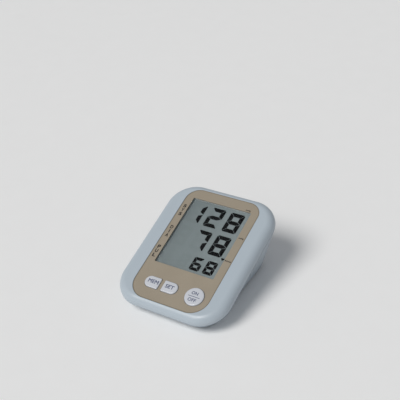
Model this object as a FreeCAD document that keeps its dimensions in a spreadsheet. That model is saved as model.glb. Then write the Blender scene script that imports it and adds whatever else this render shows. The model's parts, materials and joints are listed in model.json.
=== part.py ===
import FreeCAD, Part
import math
import os
import re

import Sketcher
from FreeCAD import Vector

# Desktop blood pressure monitor: a white case with a tilted front, a champagne fascia, a large
# display, three keys, a battery bay in the base, and a small air pump with its valve and sensor.
#
# Two frames are used. The case frame has Z up, X to the right and Y to the rear, with its origin
# on the table under the middle of the case. The face frame is the case frame tilted about X, with
# its origin in the middle of the front face, its Y up the face and its Z out of the face.

# Driving dimensions, in millimetres and degrees
SIZES = {
    # Case
    "case_width": 107,
    "case_length": 132,
    "case_corner": 26,
    "case_wall": 2.2,
    "edge_round": 7,
    "rim_depth": 8,
    "cavity_round": 3.5,
    "face_tilt": 18,
    "front_height": 16,
    "base_width": 84,
    "base_length": 109,
    "base_corner": 16,
    "base_shift": -2.5,
    "base_round": 4,
    # Rubber feet
    "foot_height": 1,
    "foot_radius": 4.5,
    "foot_sink": 0.8,
    "foot_inset": 11.5,
    # Fascia
    "fascia_width": 74,
    "fascia_length": 120,
    "fascia_front_corner": 16,
    "fascia_rear_corner": 13,
    "fascia_thickness": 0.6,
    "fascia_sink": 0.4,
    "plate_thickness": 1.2,
    "fit_gap": 0.15,
    # Display
    "view_width": 59,
    "view_length": 73.4,
    "view_centre": 13,
    "view_corner": 1,
    "window_lap": 1,
    "pane_gap": 0.1,
    "flange_lap": 1.5,
    "flange_thickness": 0.5,
    "gasket_thickness": 0.3,
    "gasket_width": 1.2,
    "glass_border": 1.5,
    "glass_thickness": 1.1,
    "glass_ledge": 3,
    "holder_wall": 1.2,
    "holder_shelf": 1.2,
    "connector_width": 2.2,
    # Main board
    "board_room": 3.3,
    "board_thickness": 1.6,
    "board_front": 49,
    "board_margin": 0.8,
    "board_edge": 3,
    "board_corner": 2,
    "boss_radius": 2.4,
    "boss_gap": 0.75,
    "boss_front": 33,
    "boss_rear": 46,
    "board_screw_radius": 0.95,
    "board_screw_length": 5,
    "board_screw_room": 0.5,
    "board_head_radius": 2,
    "board_head_height": 1.2,
    # Keys
    "keys_place": 43.7,
    "pair_place": 10.5,
    "pair_length": 32,
    "pair_gap": 3.4,
    "key_height": 10.8,
    "key_end_flat": 0.3,
    "key_inner_corner": 1,
    "key_gap": 0.35,
    "key_rise": 0.9,
    "key_round": 0.7,
    "key_rest_gap": 0.2,
    "key_flange": 0.8,
    "key_flange_lap": 1,
    "key_stem_radius": 2,
    "power_place": 22.5,
    "power_drop": 44.4,
    "power_radius": 8.6,
    "switch_size": 6,
    "switch_height": 1.8,
    "plunger_radius": 1.6,
    "plunger_rise": 1,
    "plunger_well": 1.2,
    "plunger_gap": 0.2,
    # Case screws, driven from the front under the fascia
    "post_radius": 2.6,
    "post_gap": 0.5,
    "pad_gap": 0.8,
    "pad_radius": 3.2,
    "pad_height": 1.8,
    "screw_front_place": 13,
    "screw_rear_place": 20,
    "screw_radius": 1,
    "screw_length": 9,
    "screw_room": 2,
    "screw_head_radius": 1.9,
    "screw_head_height": 1.1,
    "screw_gap": 0.1,
    # Battery bay
    "cell_radius": 5.25,
    "cell_length": 44.5,
    "cell_pitch": 11,
    "cell_side_gap": 0.5,
    "cell_door_gap": 0.4,
    "cell_nub_radius": 1.9,
    "cell_nub_height": 0.9,
    "contact_thickness": 0.4,
    "contact_width": 8,
    "spring_room": 4.7,
    "spring_wire": 0.35,
    "spring_base_radius": 3.7,
    "spring_tip_radius": 2.2,
    "bay_place": 36.8,
    "bay_wall": 2,
    "door_thickness": 2,
    "door_lap": 1.2,
    "door_gap": 0.3,
    "hinge_pin_radius": 0.6,
    "hinge_pin_length": 1,
    "hinge_pin_gap": 0.1,
    "notch_width": 16,
    "notch_length": 4,
    "notch_depth": 1.2,
    # Pump
    "pump_start": 2.2,
    "pump_place": 15.9,
    "pump_radius": 12,
    "pump_floor_gap": 3.6,
    "cap_length": 7,
    "head_length": 5,
    "diaphragm_length": 2.5,
    "chamber_length": 14,
    "chamber_wall": 1.2,
    "motor_radius": 10.2,
    "motor_length": 19,
    "can_wall": 0.8,
    "can_front_wall": 1.6,
    "end_cap_length": 2,
    "end_cap_wall": 0.8,
    "shaft_end_gap": 0.4,
    "magnet_thickness": 2,
    "magnet_slot": 6,
    "rotor_radius": 6,
    "rotor_length": 13,
    "shaft_radius": 1,
    "bearing_gap": 0.05,
    "crank_radius": 5,
    "crank_length": 5,
    "crank_gap": 0.5,
    "wobble_angle": 6,
    "wobble_radius": 8,
    "wobble_thickness": 1.6,
    "wobble_room": 3,
    "wobble_pin_radius": 0.9,
    "wobble_hub_radius": 2.6,
    "wobble_hub_length": 3.2,
    "plenum_radius": 10.4,
    "damper_length": 10,
    "damper_place": 6,
    "saddle_place": 1,
    "saddle_width": 3,
    "saddle_span": 18,
    "saddle_grip": 6,
    "saddle_gap": 0.1,
    "foam_width": 14,
    "foam_length": 12,
    "foam_grip": 6,
    # Air line
    "air_place": 24.5,
    "air_level": 8.35,
    "barb_radius": 1.5,
    "barb_bore": 0.8,
    "barb_length": 3.4,
    "hose_wall": 0.8,
    "hose_gap": 0.05,
    "hose_stop": 0.2,
    "manifold_left": 8,
    "manifold_width": 11,
    "manifold_front": 13.4,
    "manifold_length": 17.4,
    "manifold_height": 8,
    "manifold_gap": 0.4,
    "manifold_foot_inset": 2,
    "manifold_wall": 1,
    "valve_left": 12.5,
    "valve_length": 17,
    "valve_front": 5.2,
    "valve_width": 12,
    "valve_height": 10,
    "valve_cover": 1,
    "valve_bore_radius": 2.8,
    "valve_bore_depth": 11,
    "valve_stroke": 0.8,
    "valve_plunger_gap": 0.2,
    "sensor_left": 11,
    "sensor_size": 8,
    "sensor_place": 10.2,
    "sensor_height": 4,
    "sensor_axis": 2.5,
    # Air socket on the left side
    "socket_seat": 2.6,
    "socket_recess_radius": 6.4,
    "socket_boss_radius": 8.6,
    "socket_boss_depth": 2,
    "socket_flange_radius": 6,
    "socket_flange": 1.2,
    "socket_tube_radius": 4.4,
    "socket_bore_radius": 3,
    "socket_bore_depth": 8,
    "socket_tail": 9,
    # Power jack on the rear
    "jack_level": 14.2,
    "jack_width": 9,
    "jack_height": 9,
    "jack_length": 12,
    "jack_seat": 2.4,
    "jack_collar_radius": 4.2,
    "jack_bore_radius": 2.9,
    "jack_bore_depth": 9,
    "jack_pin_radius": 1,
    "jack_pin_short": 1,
    # Leads
    "lead_radius": 0.55,
    "lead_bend": 4,
    "lead_start": 0.5,
    "lead_gap": 0.3,
    "lead_side_gap": 0.1,
    "motor_lead_spread": 3,
    "jack_lead_spread": 2.5,
    "jack_lead_place": 4,
    # Board parts
    "buzzer_radius": 6,
    "buzzer_height": 4,
    "buzzer_across": 24,
    "buzzer_along": 4,
    "processor_across": 8,
    "processor_along": 16,
    "processor_width": 10,
    "processor_length": 10,
    "processor_height": 1.4,
    "memory_across": -6,
    "memory_along": 14,
    "memory_width": 5,
    "memory_length": 4,
    "memory_height": 1.2,
    "amplifier_across": -16,
    "amplifier_along": 12,
    "amplifier_width": 5,
    "amplifier_length": 4,
    "amplifier_height": 1.2,
    "crystal_across": 19,
    "crystal_along": 15,
    "crystal_width": 3.5,
    "crystal_length": 8,
    "crystal_height": 2,
    "driver_across": 28,
    "driver_along": -14,
    "driver_width": 6,
    "driver_length": 5,
    "driver_height": 1.4,
}

CELL_COUNT = 4
SPRING_TURNS = 3
TURN_POINTS = 48
BASE_STEPS = (0, 30, 60, 90)
KEYS = ("mem", "set", "power")
CHIPS = ("processor", "memory", "amplifier", "crystal", "driver")
SIGNS = ("-", "")

doc = FreeCAD.newDocument("blood_pressure_monitor")
sheet = doc.addObject("Spreadsheet::Sheet", "sizes")
for row, (alias, size) in enumerate(SIZES.items(), start=1):
    sheet.set(f"A{row}", alias)
    sheet.set(f"B{row}", str(size))
    sheet.setAlias(f"B{row}", alias)
doc.recompute()


places = doc.addObject("App::VarSet", "places")


def bound(text):
    """Turn names in a formula into references to the sheet's cells and to places worked out from them."""

    def reference(word):
        if word[0] in SIZES:
            return f"sizes.{word[0]}"
        return f"places.{word[0]}" if word[0] in places.PropertiesList else word[0]

    return re.sub(r"[a-z_]+", reference, text)


def derive(name, formula):
    """Keep a place that follows from the sizes under a name of its own."""
    places.addProperty("App::PropertyFloat", name)
    places.setExpression(name, bound(formula))
    doc.recompute()


def value(text):
    """Work out a formula of size names as a plain number."""
    result = sheet.evalExpression(bound(text))
    return float(getattr(result, "Value", result))


def half(text):
    return f"({text})/2"


# Heights in the face frame, from the frame's top downwards
RECESS = "-(fascia_sink + fascia_thickness)"
PLATE = f"({RECESS} - plate_thickness)"
FLANGE = f"({PLATE} - flange_thickness)"
GLASS_TOP = f"({FLANGE} - gasket_thickness)"
GLASS_MIDDLE = f"({GLASS_TOP} - glass_thickness)"
GLASS_LOW = f"({GLASS_MIDDLE} - glass_thickness)"
BOARD_TOP = f"({GLASS_LOW} - board_room)"
BOARD_LOW = f"({BOARD_TOP} - board_thickness)"
SWITCH_TOP = f"({BOARD_TOP} + switch_height)"
PLUNGER_TOP = f"({SWITCH_TOP} + plunger_rise)"
KEY_FLANGE_TOP = f"({PLATE} - key_rest_gap)"
KEY_FLANGE_LOW = f"({KEY_FLANGE_TOP} - key_flange)"
SCREW_SEAT = f"({RECESS} - screw_head_height - screw_gap)"
POST_TOP = f"({PLATE} - pad_height)"

# Plan sizes in the face frame
GLASS_WIDTH = "(view_width + 2*glass_border)"
GLASS_REAR = "(view_centre + view_length/2 + glass_border)"
GLASS_FRONT = "(view_centre - view_length/2 - glass_border)"
LEDGE_FRONT = f"({GLASS_FRONT} - glass_ledge)"
HOLDER_WIDTH = f"({GLASS_WIDTH} + 2*fit_gap + 2*holder_wall)"
HOLDER_FRONT = f"({LEDGE_FRONT} - fit_gap - holder_wall)"
HOLDER_REAR = f"({GLASS_REAR} + fit_gap + holder_wall)"
BOSS_PLACE = f"({HOLDER_WIDTH}/2 + boss_gap + boss_radius)"
BOARD_WIDTH = f"(2*{BOSS_PLACE} + 2*board_edge)"
BOARD_REAR = f"({HOLDER_REAR} + board_margin)"
SCREW_REAR = f"({BOARD_REAR} + post_gap + post_radius)"
SCREW_FRONT = "-(keys_place + key_height/2 + key_gap + key_flange_lap + pad_gap + pad_radius)"
KEY_LENGTH = "((pair_length - pair_gap)/2)"

# The face frame: the tilt, and the shift that centres the case over the origin
TILT = "face_tilt*1deg"
derive("face_shift", f"(edge_round*(1 - cos({TILT}) - sin({TILT})) - rim_depth*sin({TILT}))/2")
derive("face_lift", f"foot_height + front_height + case_length/2*sin({TILT})")
face_frame = doc.addObject("App::Placement", "face_frame")
face_frame.setExpression(
    "Placement",
    bound("placement(vector(0; face_shift; face_lift); rotation(vector(1; 0; 0); face_tilt))"),
)
doc.recompute()

CASE = ""
FACE = "face_frame.Placement * "
TURNS = {"x": "vector(0; 1; 0); 90", "y": "vector(1; 0; 0); -90", "z": "vector(0; 0; 1); 0"}


def face_to_case(along, height):
    """Formulas for a face-frame point's Y and Z in the case frame."""
    case_y = f"(({along})*cos({TILT}) - ({height})*sin({TILT}) + face_shift)"
    case_z = f"(({along})*sin({TILT}) + ({height})*cos({TILT}) + face_lift)"
    return case_y, case_z


def case_to_face(case_y, case_z):
    """Formulas for a case-frame point's Y and Z in the face frame."""
    dy = f"({case_y} - face_shift)"
    dz = f"({case_z} - face_lift)"
    along = f"({dy}*cos({TILT}) + {dz}*sin({TILT}))"
    height = f"({dz}*cos({TILT}) - {dy}*sin({TILT}))"
    return along, height


def plane_level(case_y, height):
    """The case-frame level of a face-frame plane over a place."""
    return f"(({case_y} - face_shift)*tan({TILT}) + ({height})/cos({TILT}) + face_lift)"


def board_underside(case_y):
    """The level of the board's rear face over a place in the case frame."""
    return plane_level(case_y, BOARD_LOW)


# The rear cover's walls, which rise from the base's outline to the rim
FLOOR = "(foot_height + case_wall)"
BASE_TOP = "(foot_height + base_round)"
RIM_REAR, RIM_REAR_LEVEL = face_to_case("case_length/2", "-rim_depth")
derive("base_rear", "base_shift + base_length/2")


def side_wall(case_y, case_z):
    """How far the side walls' outside stands from the middle."""
    rise = f"({case_z} - {BASE_TOP})/({plane_level(case_y, '-rim_depth')} - {BASE_TOP})"
    return f"(base_width/2 + (case_width - base_width)/2*{rise})"


def rear_wall(case_z):
    """How far back the rear wall's outside stands."""
    rise = f"({case_z} - {BASE_TOP})/({RIM_REAR_LEVEL} - {BASE_TOP})"
    return f"(base_rear + ({RIM_REAR} - base_rear)*{rise})"


# Places of the bay, pump, air line, socket and jack, each from what carries it
PUMP_LEVEL = f"({FLOOR} + pump_floor_gap + pump_radius)"
derive("pump_axis", f"{rear_wall(PUMP_LEVEL)} - pump_place")
derive("bay_middle", "pump_axis - bay_place")
derive("air_axis", "pump_axis - air_place")
derive("air_height", f"{board_underside('air_axis')} - air_level")
derive("socket_face", f"-{side_wall('air_axis', 'air_height')} + socket_seat")
derive("socket_end", "socket_face + socket_tail")
derive("manifold_start", "socket_end + manifold_left")
derive("manifold_end", "manifold_start + manifold_width")
derive("manifold_low", "air_axis - manifold_front")
derive("manifold_high", "manifold_low + manifold_length")
derive("manifold_top", f"{board_underside('manifold_low')} - manifold_gap")
derive("pump_left", "manifold_start + pump_start")
derive("valve_start", "manifold_end + valve_left")
derive("sensor_start", "manifold_end + sensor_left")
NOZZLE_ALONG, NOZZLE_HEIGHT = case_to_face("air_axis", "air_height")
derive("valve_side", f"{NOZZLE_ALONG} - valve_front")
derive("sensor_middle", f"{NOZZLE_ALONG} - sensor_place")
derive("jack_middle", f"{RIM_REAR_LEVEL} - jack_level")
derive("jack_face", f"{rear_wall('jack_middle')} - jack_seat")

# Levels and places in the case frame
DOOR_TOP = "(foot_height + door_thickness)"
CELL_LEVEL = f"({DOOR_TOP} + cell_door_gap + cell_radius)"
BAY_CEILING = f"({CELL_LEVEL} + cell_radius + cell_side_gap)"
BAY_TOP = f"({BAY_CEILING} + bay_wall)"
BAY_WIDTH = "(cell_length + spring_room + 2*contact_thickness)"
BAY_LENGTH = f"({CELL_COUNT - 1}*cell_pitch + 2*cell_radius + 2*cell_side_gap)"
BAY_FRONT = f"(bay_middle - {BAY_LENGTH}/2)"
BAY_REAR = f"(bay_middle + {BAY_LENGTH}/2)"
DOOR_WIDTH = f"({BAY_WIDTH} + 2*door_lap - 2*door_gap)"
DOOR_REAR = f"({BAY_REAR} + door_lap - door_gap)"
HINGE_PLACE = f"({BAY_FRONT} - door_lap + door_gap + door_thickness/2)"
HINGE_LEVEL = "(foot_height + door_thickness/2)"
CAP_END = "(pump_left + cap_length)"
HEAD_END = f"({CAP_END} + head_length)"
DIAPHRAGM_END = f"({HEAD_END} + diaphragm_length)"
CHAMBER_END = f"({DIAPHRAGM_END} + chamber_length)"
MOTOR_END = f"({CHAMBER_END} + motor_length)"
WOBBLE_PLACE = f"({DIAPHRAGM_END} + wobble_room)"
CRANK_START = f"({CHAMBER_END} - chamber_wall - crank_gap - crank_length)"
SHAFT_START = f"({CRANK_START} + crank_length/2)"
PUMP_PORT = "(pump_left + cap_length/2)"
JACK_FRONT = "(jack_face - case_wall - jack_length)"
HOSE_BORE = "(barb_radius + hose_gap)"
HOSE_RADIUS = "(barb_radius + hose_gap + hose_wall)"

def place(item, frame, spot, turn=TURNS["z"]):
    """Bind an object's placement to a spot in one of the two frames."""
    where = f"placement(vector({'; '.join(spot)}); rotation({turn}))"
    item.setExpression("Placement", bound(frame + where))


def box(name, frame, across, along, height):
    """A block between pairs of low and high formulas."""
    item = doc.addObject("Part::Box", name)
    for side, (low, high) in zip(("Length", "Width", "Height"), (across, along, height)):
        item.setExpression(side, bound(f"({high}) - ({low})"))
    place(item, frame, (across[0], along[0], height[0]))
    return item


def rod(name, frame, radius, start, length, axis="z"):
    """A cylinder from a start point along one axis of its frame."""
    item = doc.addObject("Part::Cylinder", name)
    item.setExpression("Radius", bound(radius))
    item.setExpression("Height", bound(length))
    place(item, frame, start, TURNS[axis])
    return item


def fuse(name, items):
    item = doc.addObject("Part::MultiFuse", name)
    item.Shapes = list(items)
    item.Refine = True
    return item


def cut(name, base, tools):
    """A base less its tools."""
    tools = list(tools)
    item = doc.addObject("Part::Cut", name)
    item.Base = base
    item.Tool = tools[0] if len(tools) == 1 else fuse(f"{name}_cuts", tools)
    item.Refine = True
    return item


def common(name, items):
    item = doc.addObject("Part::MultiCommon", name)
    item.Shapes = list(items)
    item.Refine = True
    return item


def group(name, items):
    """Separate solids that share one node."""
    item = doc.addObject("Part::Compound", name)
    item.Links = list(items)
    return item


def tube(name, frame, radius, bore, start, length, axis):
    """A straight pipe open at both ends."""
    outside = rod(f"{name}_outside", frame, radius, start, length, axis)
    inside = rod(f"{name}_inside", frame, bore, start, length, axis)
    return cut(name, outside, [inside])


def new_body(name, frame=FACE):
    body = doc.addObject("PartDesign::Body", name)
    place(body, frame, ("0", "0", "0"))
    return body


def new_sketch(body, name, spot, turn=TURNS["z"], frame=CASE):
    """A sketch on a body's own XY plane, moved to a spot."""
    sketch = body.newObject("Sketcher::SketchObject", f"{body.Name}_{name}")
    plane = next(item for item in body.Origin.OriginFeatures if item.Role == "XY_Plane")
    sketch.AttachmentSupport = (plane, [""])
    sketch.MapMode = "FlatFace"
    where = f"placement(vector({'; '.join(spot)}); rotation({turn}))"
    sketch.setExpression("AttachmentOffset", bound(frame + where))
    return sketch


def drive(sketch, name, constraint, formula):
    """Add a dimension to a sketch and bind it."""
    index = sketch.addConstraint(constraint)
    sketch.renameConstraint(index, name)
    sketch.setExpression(f"Constraints.{name}", bound(formula))


def rounded_sketch(body, name, size, corners, spot, turn=TURNS["z"], frame=CASE):
    """A rectangle centred on its spot, its front and rear corner pairs each with a radius."""
    sketch = new_sketch(body, name, spot, turn, frame)
    right, rear = value(half(size[0])), value(half(size[1]))
    front_radius, rear_radius = value(corners[0]), value(corners[1])
    lines = (
        ((front_radius - right, -rear), (right - front_radius, -rear)),
        ((right, front_radius - rear), (right, rear - rear_radius)),
        ((right - rear_radius, rear), (rear_radius - right, rear)),
        ((-right, rear - rear_radius), (-right, front_radius - rear)),
    )
    for start, end in lines:
        sketch.addGeometry(Part.LineSegment(Vector(*start, 0), Vector(*end, 0)))
    arcs = (
        (right - front_radius, front_radius - rear, front_radius, -90),
        (right - rear_radius, rear - rear_radius, rear_radius, 0),
        (rear_radius - right, rear - rear_radius, rear_radius, 90),
        (front_radius - right, front_radius - rear, front_radius, 180),
    )
    for x, y, radius, start in arcs:
        circle = Part.Circle(Vector(x, y, 0), Vector(0, 0, 1), radius)
        sketch.addGeometry(Part.ArcOfCircle(circle, math.radians(start), math.radians(start + 90)))
    rule = Sketcher.Constraint
    for index in range(4):
        sketch.addConstraint(rule("Tangent", index, 2, 4 + index, 1))
        sketch.addConstraint(rule("Tangent", 4 + index, 2, (index + 1) % 4, 1))
    for index, way in enumerate(("Horizontal", "Vertical", "Horizontal", "Vertical")):
        sketch.addConstraint(rule(way, index))
    sketch.addConstraint(rule("Equal", 4, 7))
    sketch.addConstraint(rule("Equal", 5, 6))
    drive(sketch, "front_corner", rule("Radius", 4, front_radius), corners[0])
    drive(sketch, "rear_corner", rule("Radius", 5, rear_radius), corners[1])
    drive(sketch, "to_left", rule("DistanceX", 3, 1, -1, 1, right), half(size[0]))
    drive(sketch, "to_right", rule("DistanceX", -1, 1, 1, 1, right), half(size[0]))
    drive(sketch, "to_front", rule("DistanceY", 0, 1, -1, 1, rear), half(size[1]))
    drive(sketch, "to_rear", rule("DistanceY", -1, 1, 2, 1, rear), half(size[1]))
    return sketch


def round_sketch(body, name, radius, spot):
    """A circle centred on its spot."""
    sketch = new_sketch(body, name, spot)
    sketch.addGeometry(Part.Circle(Vector(0, 0, 0), Vector(0, 0, 1), value(radius)))
    sketch.addConstraint(Sketcher.Constraint("Coincident", 0, 3, -1, 1))
    drive(sketch, "radius", Sketcher.Constraint("Radius", 0, value(radius)), radius)
    return sketch


def pad(body, sketch, length):
    """Raise a sketch out of its plane."""
    feature = body.newObject("PartDesign::Pad", f"{sketch.Name}_pad")
    feature.Profile = sketch
    feature.setExpression("Length", bound(length))
    doc.recompute()
    return feature


def pocket(body, sketch, depth):
    """Cut a sketch upwards from its plane, and make sure that it cuts."""
    before = body.Shape.Volume
    feature = body.newObject("PartDesign::Pocket", f"{sketch.Name}_pocket")
    feature.Profile = sketch
    feature.Reversed = True
    feature.setExpression("Length", bound(depth))
    doc.recompute()
    if body.Shape.Volume >= before:
        raise RuntimeError(f"{feature.Name} cuts nothing")
    return feature


def round_edges(body, name, radius, chosen):
    """Round the edges of a body's last feature that a test picks."""
    base = body.Tip
    edges = [f"Edge{index}" for index, edge in enumerate(base.Shape.Edges, start=1) if chosen(edge)]
    feature = body.newObject("PartDesign::Fillet", f"{body.Name}_{name}")
    feature.Base = (base, edges)
    feature.setExpression("Radius", bound(radius))
    doc.recompute()
    return feature


def at_height(height):
    """A test for edges that lie in one level plane."""
    level = value(height)
    return lambda edge: all(abs(point.z - level) < 1e-6 for point in edge.discretize(5))


def outset(formula, amount):
    return f"({formula} + {amount})"


def key_sketch(body, name, key, height, grow="0"):
    """The outline of one key, grown all round."""
    if key == "power":
        return round_sketch(body, name, outset("power_radius", grow), ("power_place", "-power_drop", height))
    side, turn = {"mem": ("-1", "-90"), "set": ("1", "90")}[key]
    centre = f"(-pair_place + {side}*(pair_gap/2 + {KEY_LENGTH}/2))"
    size = (f"(key_height + 2*({grow}))", f"({KEY_LENGTH} + 2*({grow}))")
    corners = (f"(key_height/2 - key_end_flat + {grow})", f"(key_inner_corner + {grow})")
    spot = (centre, "-keys_place", height)
    return rounded_sketch(body, name, size, corners, spot, f"vector(0; 0; 1); {turn}")


def key_centre(key):
    """The middle of one key's cap."""
    if key == "power":
        return "power_place", "-power_drop"
    side = {"mem": "-1", "set": "1"}[key]
    return f"(-pair_place + {side}*(pair_gap/2 + {KEY_LENGTH}/2))", "-keys_place"


def rounded_block(name, size, corners, centre, height):
    """A rounded plate in the face frame between a low and a high level."""
    body = new_body(name)
    sketch = rounded_sketch(body, "outline", size, corners, (*centre, height[0]))
    pad(body, sketch, f"({height[1]}) - ({height[0]})")
    return body


def grown(size, amount):
    """A width and a length, each grown on both sides."""
    return tuple(f"({side} + 2*({amount}))" for side in size)


# Outlines that more than one piece shares
CASE_OUTLINE = ("case_width", "case_length")
FASCIA_OUTLINE = ("fascia_width", "fascia_length")
VIEW_OUTLINE = ("view_width", "view_length")
BASE_OUTLINE = ("base_width", "base_length")
WINDOW_OUTLINE = grown(VIEW_OUTLINE, "window_lap")
FLANGE_OUTLINE = grown(VIEW_OUTLINE, "window_lap + flange_lap")
VIEW_SPOT = ("0", "view_centre")
CASE_SCREWS = [(f"{sign}screw_front_place", SCREW_FRONT) for sign in SIGNS]
CASE_SCREWS += [(f"{sign}screw_rear_place", SCREW_REAR) for sign in SIGNS]
BOARD_SCREWS = [(f"{sign}{BOSS_PLACE}", along) for sign in SIGNS for along in ("-boss_front", "boss_rear")]


def make_front_cover():
    """The white front frame, with the fascia's recess, its openings, bosses and screw pads."""
    body = new_body("front_cover_shell")
    outline = rounded_sketch(body, "outline", CASE_OUTLINE, ("case_corner",) * 2, ("0", "0", "-rim_depth"))
    pad(body, outline, "rim_depth")
    round_edges(body, "edge", "edge_round", at_height("0"))
    inner = ("case_corner - case_wall",) * 2
    cavity = rounded_sketch(
        body, "cavity", grown(CASE_OUTLINE, "-case_wall"), inner, ("0", "0", "-rim_depth")
    )
    pocket(body, cavity, f"rim_depth + {PLATE}")
    round_edges(body, "cavity_edge", "cavity_round", at_height(PLATE))
    recess_corners = ("fascia_front_corner + fit_gap", "fascia_rear_corner + fit_gap")
    recess = rounded_sketch(
        body, "recess", grown(FASCIA_OUTLINE, "fit_gap"), recess_corners, ("0", "0", RECESS)
    )
    pocket(body, recess, f"0 - {RECESS}")
    opening = rounded_sketch(
        body,
        "window",
        grown(WINDOW_OUTLINE, "fit_gap"),
        ("view_corner + window_lap + fit_gap",) * 2,
        (*VIEW_SPOT, PLATE),
    )
    pocket(body, opening, "plate_thickness")
    for key in KEYS:
        pocket(body, key_sketch(body, f"{key}_hole", key, PLATE, "key_gap"), "plate_thickness")
    added = []
    holes = []
    for index, (across, along) in enumerate(BOARD_SCREWS, start=1):
        height = f"{PLATE} - {BOARD_TOP}"
        added.append(rod(f"board_boss_{index}", FACE, "boss_radius", (across, along, BOARD_TOP), height))
        depth = "board_screw_length - board_thickness + board_screw_room"
        pilot = "board_screw_radius + screw_gap"
        holes.append(rod(f"board_pilot_{index}", FACE, pilot, (across, along, BOARD_TOP), depth))
    for index, (across, along) in enumerate(CASE_SCREWS, start=1):
        added.append(rod(f"screw_pad_{index}", FACE, "pad_radius", (across, along, POST_TOP), "pad_height"))
        holes.append(
            rod(
                f"screw_way_{index}",
                FACE,
                "screw_radius + 2*screw_gap",
                (across, along, POST_TOP),
                f"{RECESS} - {POST_TOP}",
            )
        )
        holes.append(
            rod(
                f"screw_sink_{index}",
                FACE,
                "screw_head_radius + 2*screw_gap",
                (across, along, SCREW_SEAT),
                f"{RECESS} - {SCREW_SEAT}",
            )
        )
    return cut("front_cover", fuse("front_cover_solid", [body, *added]), holes)


def make_fascia():
    """The champagne plate around the display and the keys."""
    body = new_body("fascia_plate")
    corners = ("fascia_front_corner", "fascia_rear_corner")
    outline = rounded_sketch(body, "outline", FASCIA_OUTLINE, corners, ("0", "0", RECESS))
    pad(body, outline, "fascia_thickness")
    opening = rounded_sketch(body, "view", VIEW_OUTLINE, ("view_corner",) * 2, (*VIEW_SPOT, RECESS))
    pocket(body, opening, "fascia_thickness")
    for key in KEYS:
        pocket(body, key_sketch(body, f"{key}_hole", key, RECESS, "key_gap"), "fascia_thickness")
    return body


def make_window():
    """The clear window: a raised pane with a flange behind the front cover's plate."""
    body = new_body("display_window")
    flange_corner = ("view_corner + window_lap + flange_lap",) * 2
    flange = rounded_sketch(body, "flange", FLANGE_OUTLINE, flange_corner, (*VIEW_SPOT, FLANGE))
    pad(body, flange, "flange_thickness")
    corner = ("view_corner + window_lap",) * 2
    pane = rounded_sketch(body, "pane", WINDOW_OUTLINE, corner, (*VIEW_SPOT, PLATE))
    pad(body, pane, "plate_thickness - pane_gap")
    return body


def make_display():
    """The gasket, the two glasses, their holder and the connector strip."""
    width = ("-" + half(GLASS_WIDTH), half(GLASS_WIDTH))
    gasket_size = ("view_width + 2*gasket_width", "view_length + 2*gasket_width")
    corners = ("view_corner",) * 2
    levels = (GLASS_TOP, FLANGE)
    gasket = rounded_block("lcd_gasket_blank", gasket_size, corners, VIEW_SPOT, levels)
    view = rounded_block("lcd_gasket_view", VIEW_OUTLINE, corners, VIEW_SPOT, levels)
    cut("lcd_gasket", gasket, [view])
    box("lcd_front_glass", FACE, width, (LEDGE_FRONT, GLASS_REAR), (GLASS_MIDDLE, GLASS_TOP))
    box("lcd_rear_glass", FACE, width, (GLASS_FRONT, GLASS_REAR), (GLASS_LOW, GLASS_MIDDLE))
    outside = box(
        "lcd_holder_blank",
        FACE,
        ("-" + half(HOLDER_WIDTH), half(HOLDER_WIDTH)),
        (HOLDER_FRONT, HOLDER_REAR),
        (BOARD_TOP, FLANGE),
    )
    seat = box(
        "lcd_holder_seat",
        FACE,
        (f"-{GLASS_WIDTH}/2 - fit_gap", f"{GLASS_WIDTH}/2 + fit_gap"),
        (f"{LEDGE_FRONT} - fit_gap", f"{GLASS_REAR} + fit_gap"),
        (GLASS_LOW, FLANGE),
    )
    back = box(
        "lcd_holder_back",
        FACE,
        (f"-{GLASS_WIDTH}/2 + holder_shelf", f"{GLASS_WIDTH}/2 - holder_shelf"),
        (f"{LEDGE_FRONT} - fit_gap", f"{GLASS_REAR} - holder_shelf"),
        (BOARD_TOP, GLASS_LOW),
    )
    cut("lcd_holder", outside, [seat, back])
    strip = half(f"{GLASS_WIDTH} - 2*holder_shelf - 2*fit_gap")
    middle = f"({LEDGE_FRONT} + glass_ledge/2)"
    box(
        "lcd_connector",
        FACE,
        (f"-{strip}", strip),
        (f"{middle} - connector_width/2", f"{middle} + connector_width/2"),
        (BOARD_TOP, GLASS_MIDDLE),
    )


def make_board():
    """The main board with its screws, its small parts on the rear side and the buzzer."""
    length = f"({BOARD_REAR} + board_front)"
    centre = ("0", half(f"{BOARD_REAR} - board_front"))
    blank = rounded_block(
        "main_board_blank", (BOARD_WIDTH, length), ("board_corner",) * 2, centre, (BOARD_LOW, BOARD_TOP)
    )
    holes = []
    screws = []
    for index, (across, along) in enumerate(BOARD_SCREWS, start=1):
        spot = (across, along, BOARD_LOW)
        hole = "board_screw_radius + screw_gap"
        holes.append(rod(f"board_hole_{index}", FACE, hole, spot, "board_thickness"))
        shank = rod(f"board_shank_{index}", FACE, "board_screw_radius", spot, "board_screw_length")
        below = (across, along, f"{BOARD_LOW} - board_head_height")
        head = rod(f"board_head_{index}", FACE, "board_head_radius", below, "board_head_height")
        screws.append(fuse(f"board_screw_{index}", [shank, head]))
    cut("main_board", blank, holes)
    group("board_screws", screws)
    chips = []
    for chip in CHIPS:
        sides = tuple(f"{chip}_across {way} {chip}_width/2" for way in "-+")
        ends = tuple(f"-{chip}_along {way} {chip}_length/2" for way in "-+")
        chips.append(box(chip, FACE, sides, ends, (f"{BOARD_LOW} - {chip}_height", BOARD_LOW)))
    group("board_chips", chips)
    spot = ("buzzer_across", "-buzzer_along", f"{BOARD_LOW} - buzzer_height")
    rod("buzzer", FACE, "buzzer_radius", spot, "buzzer_height")


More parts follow.
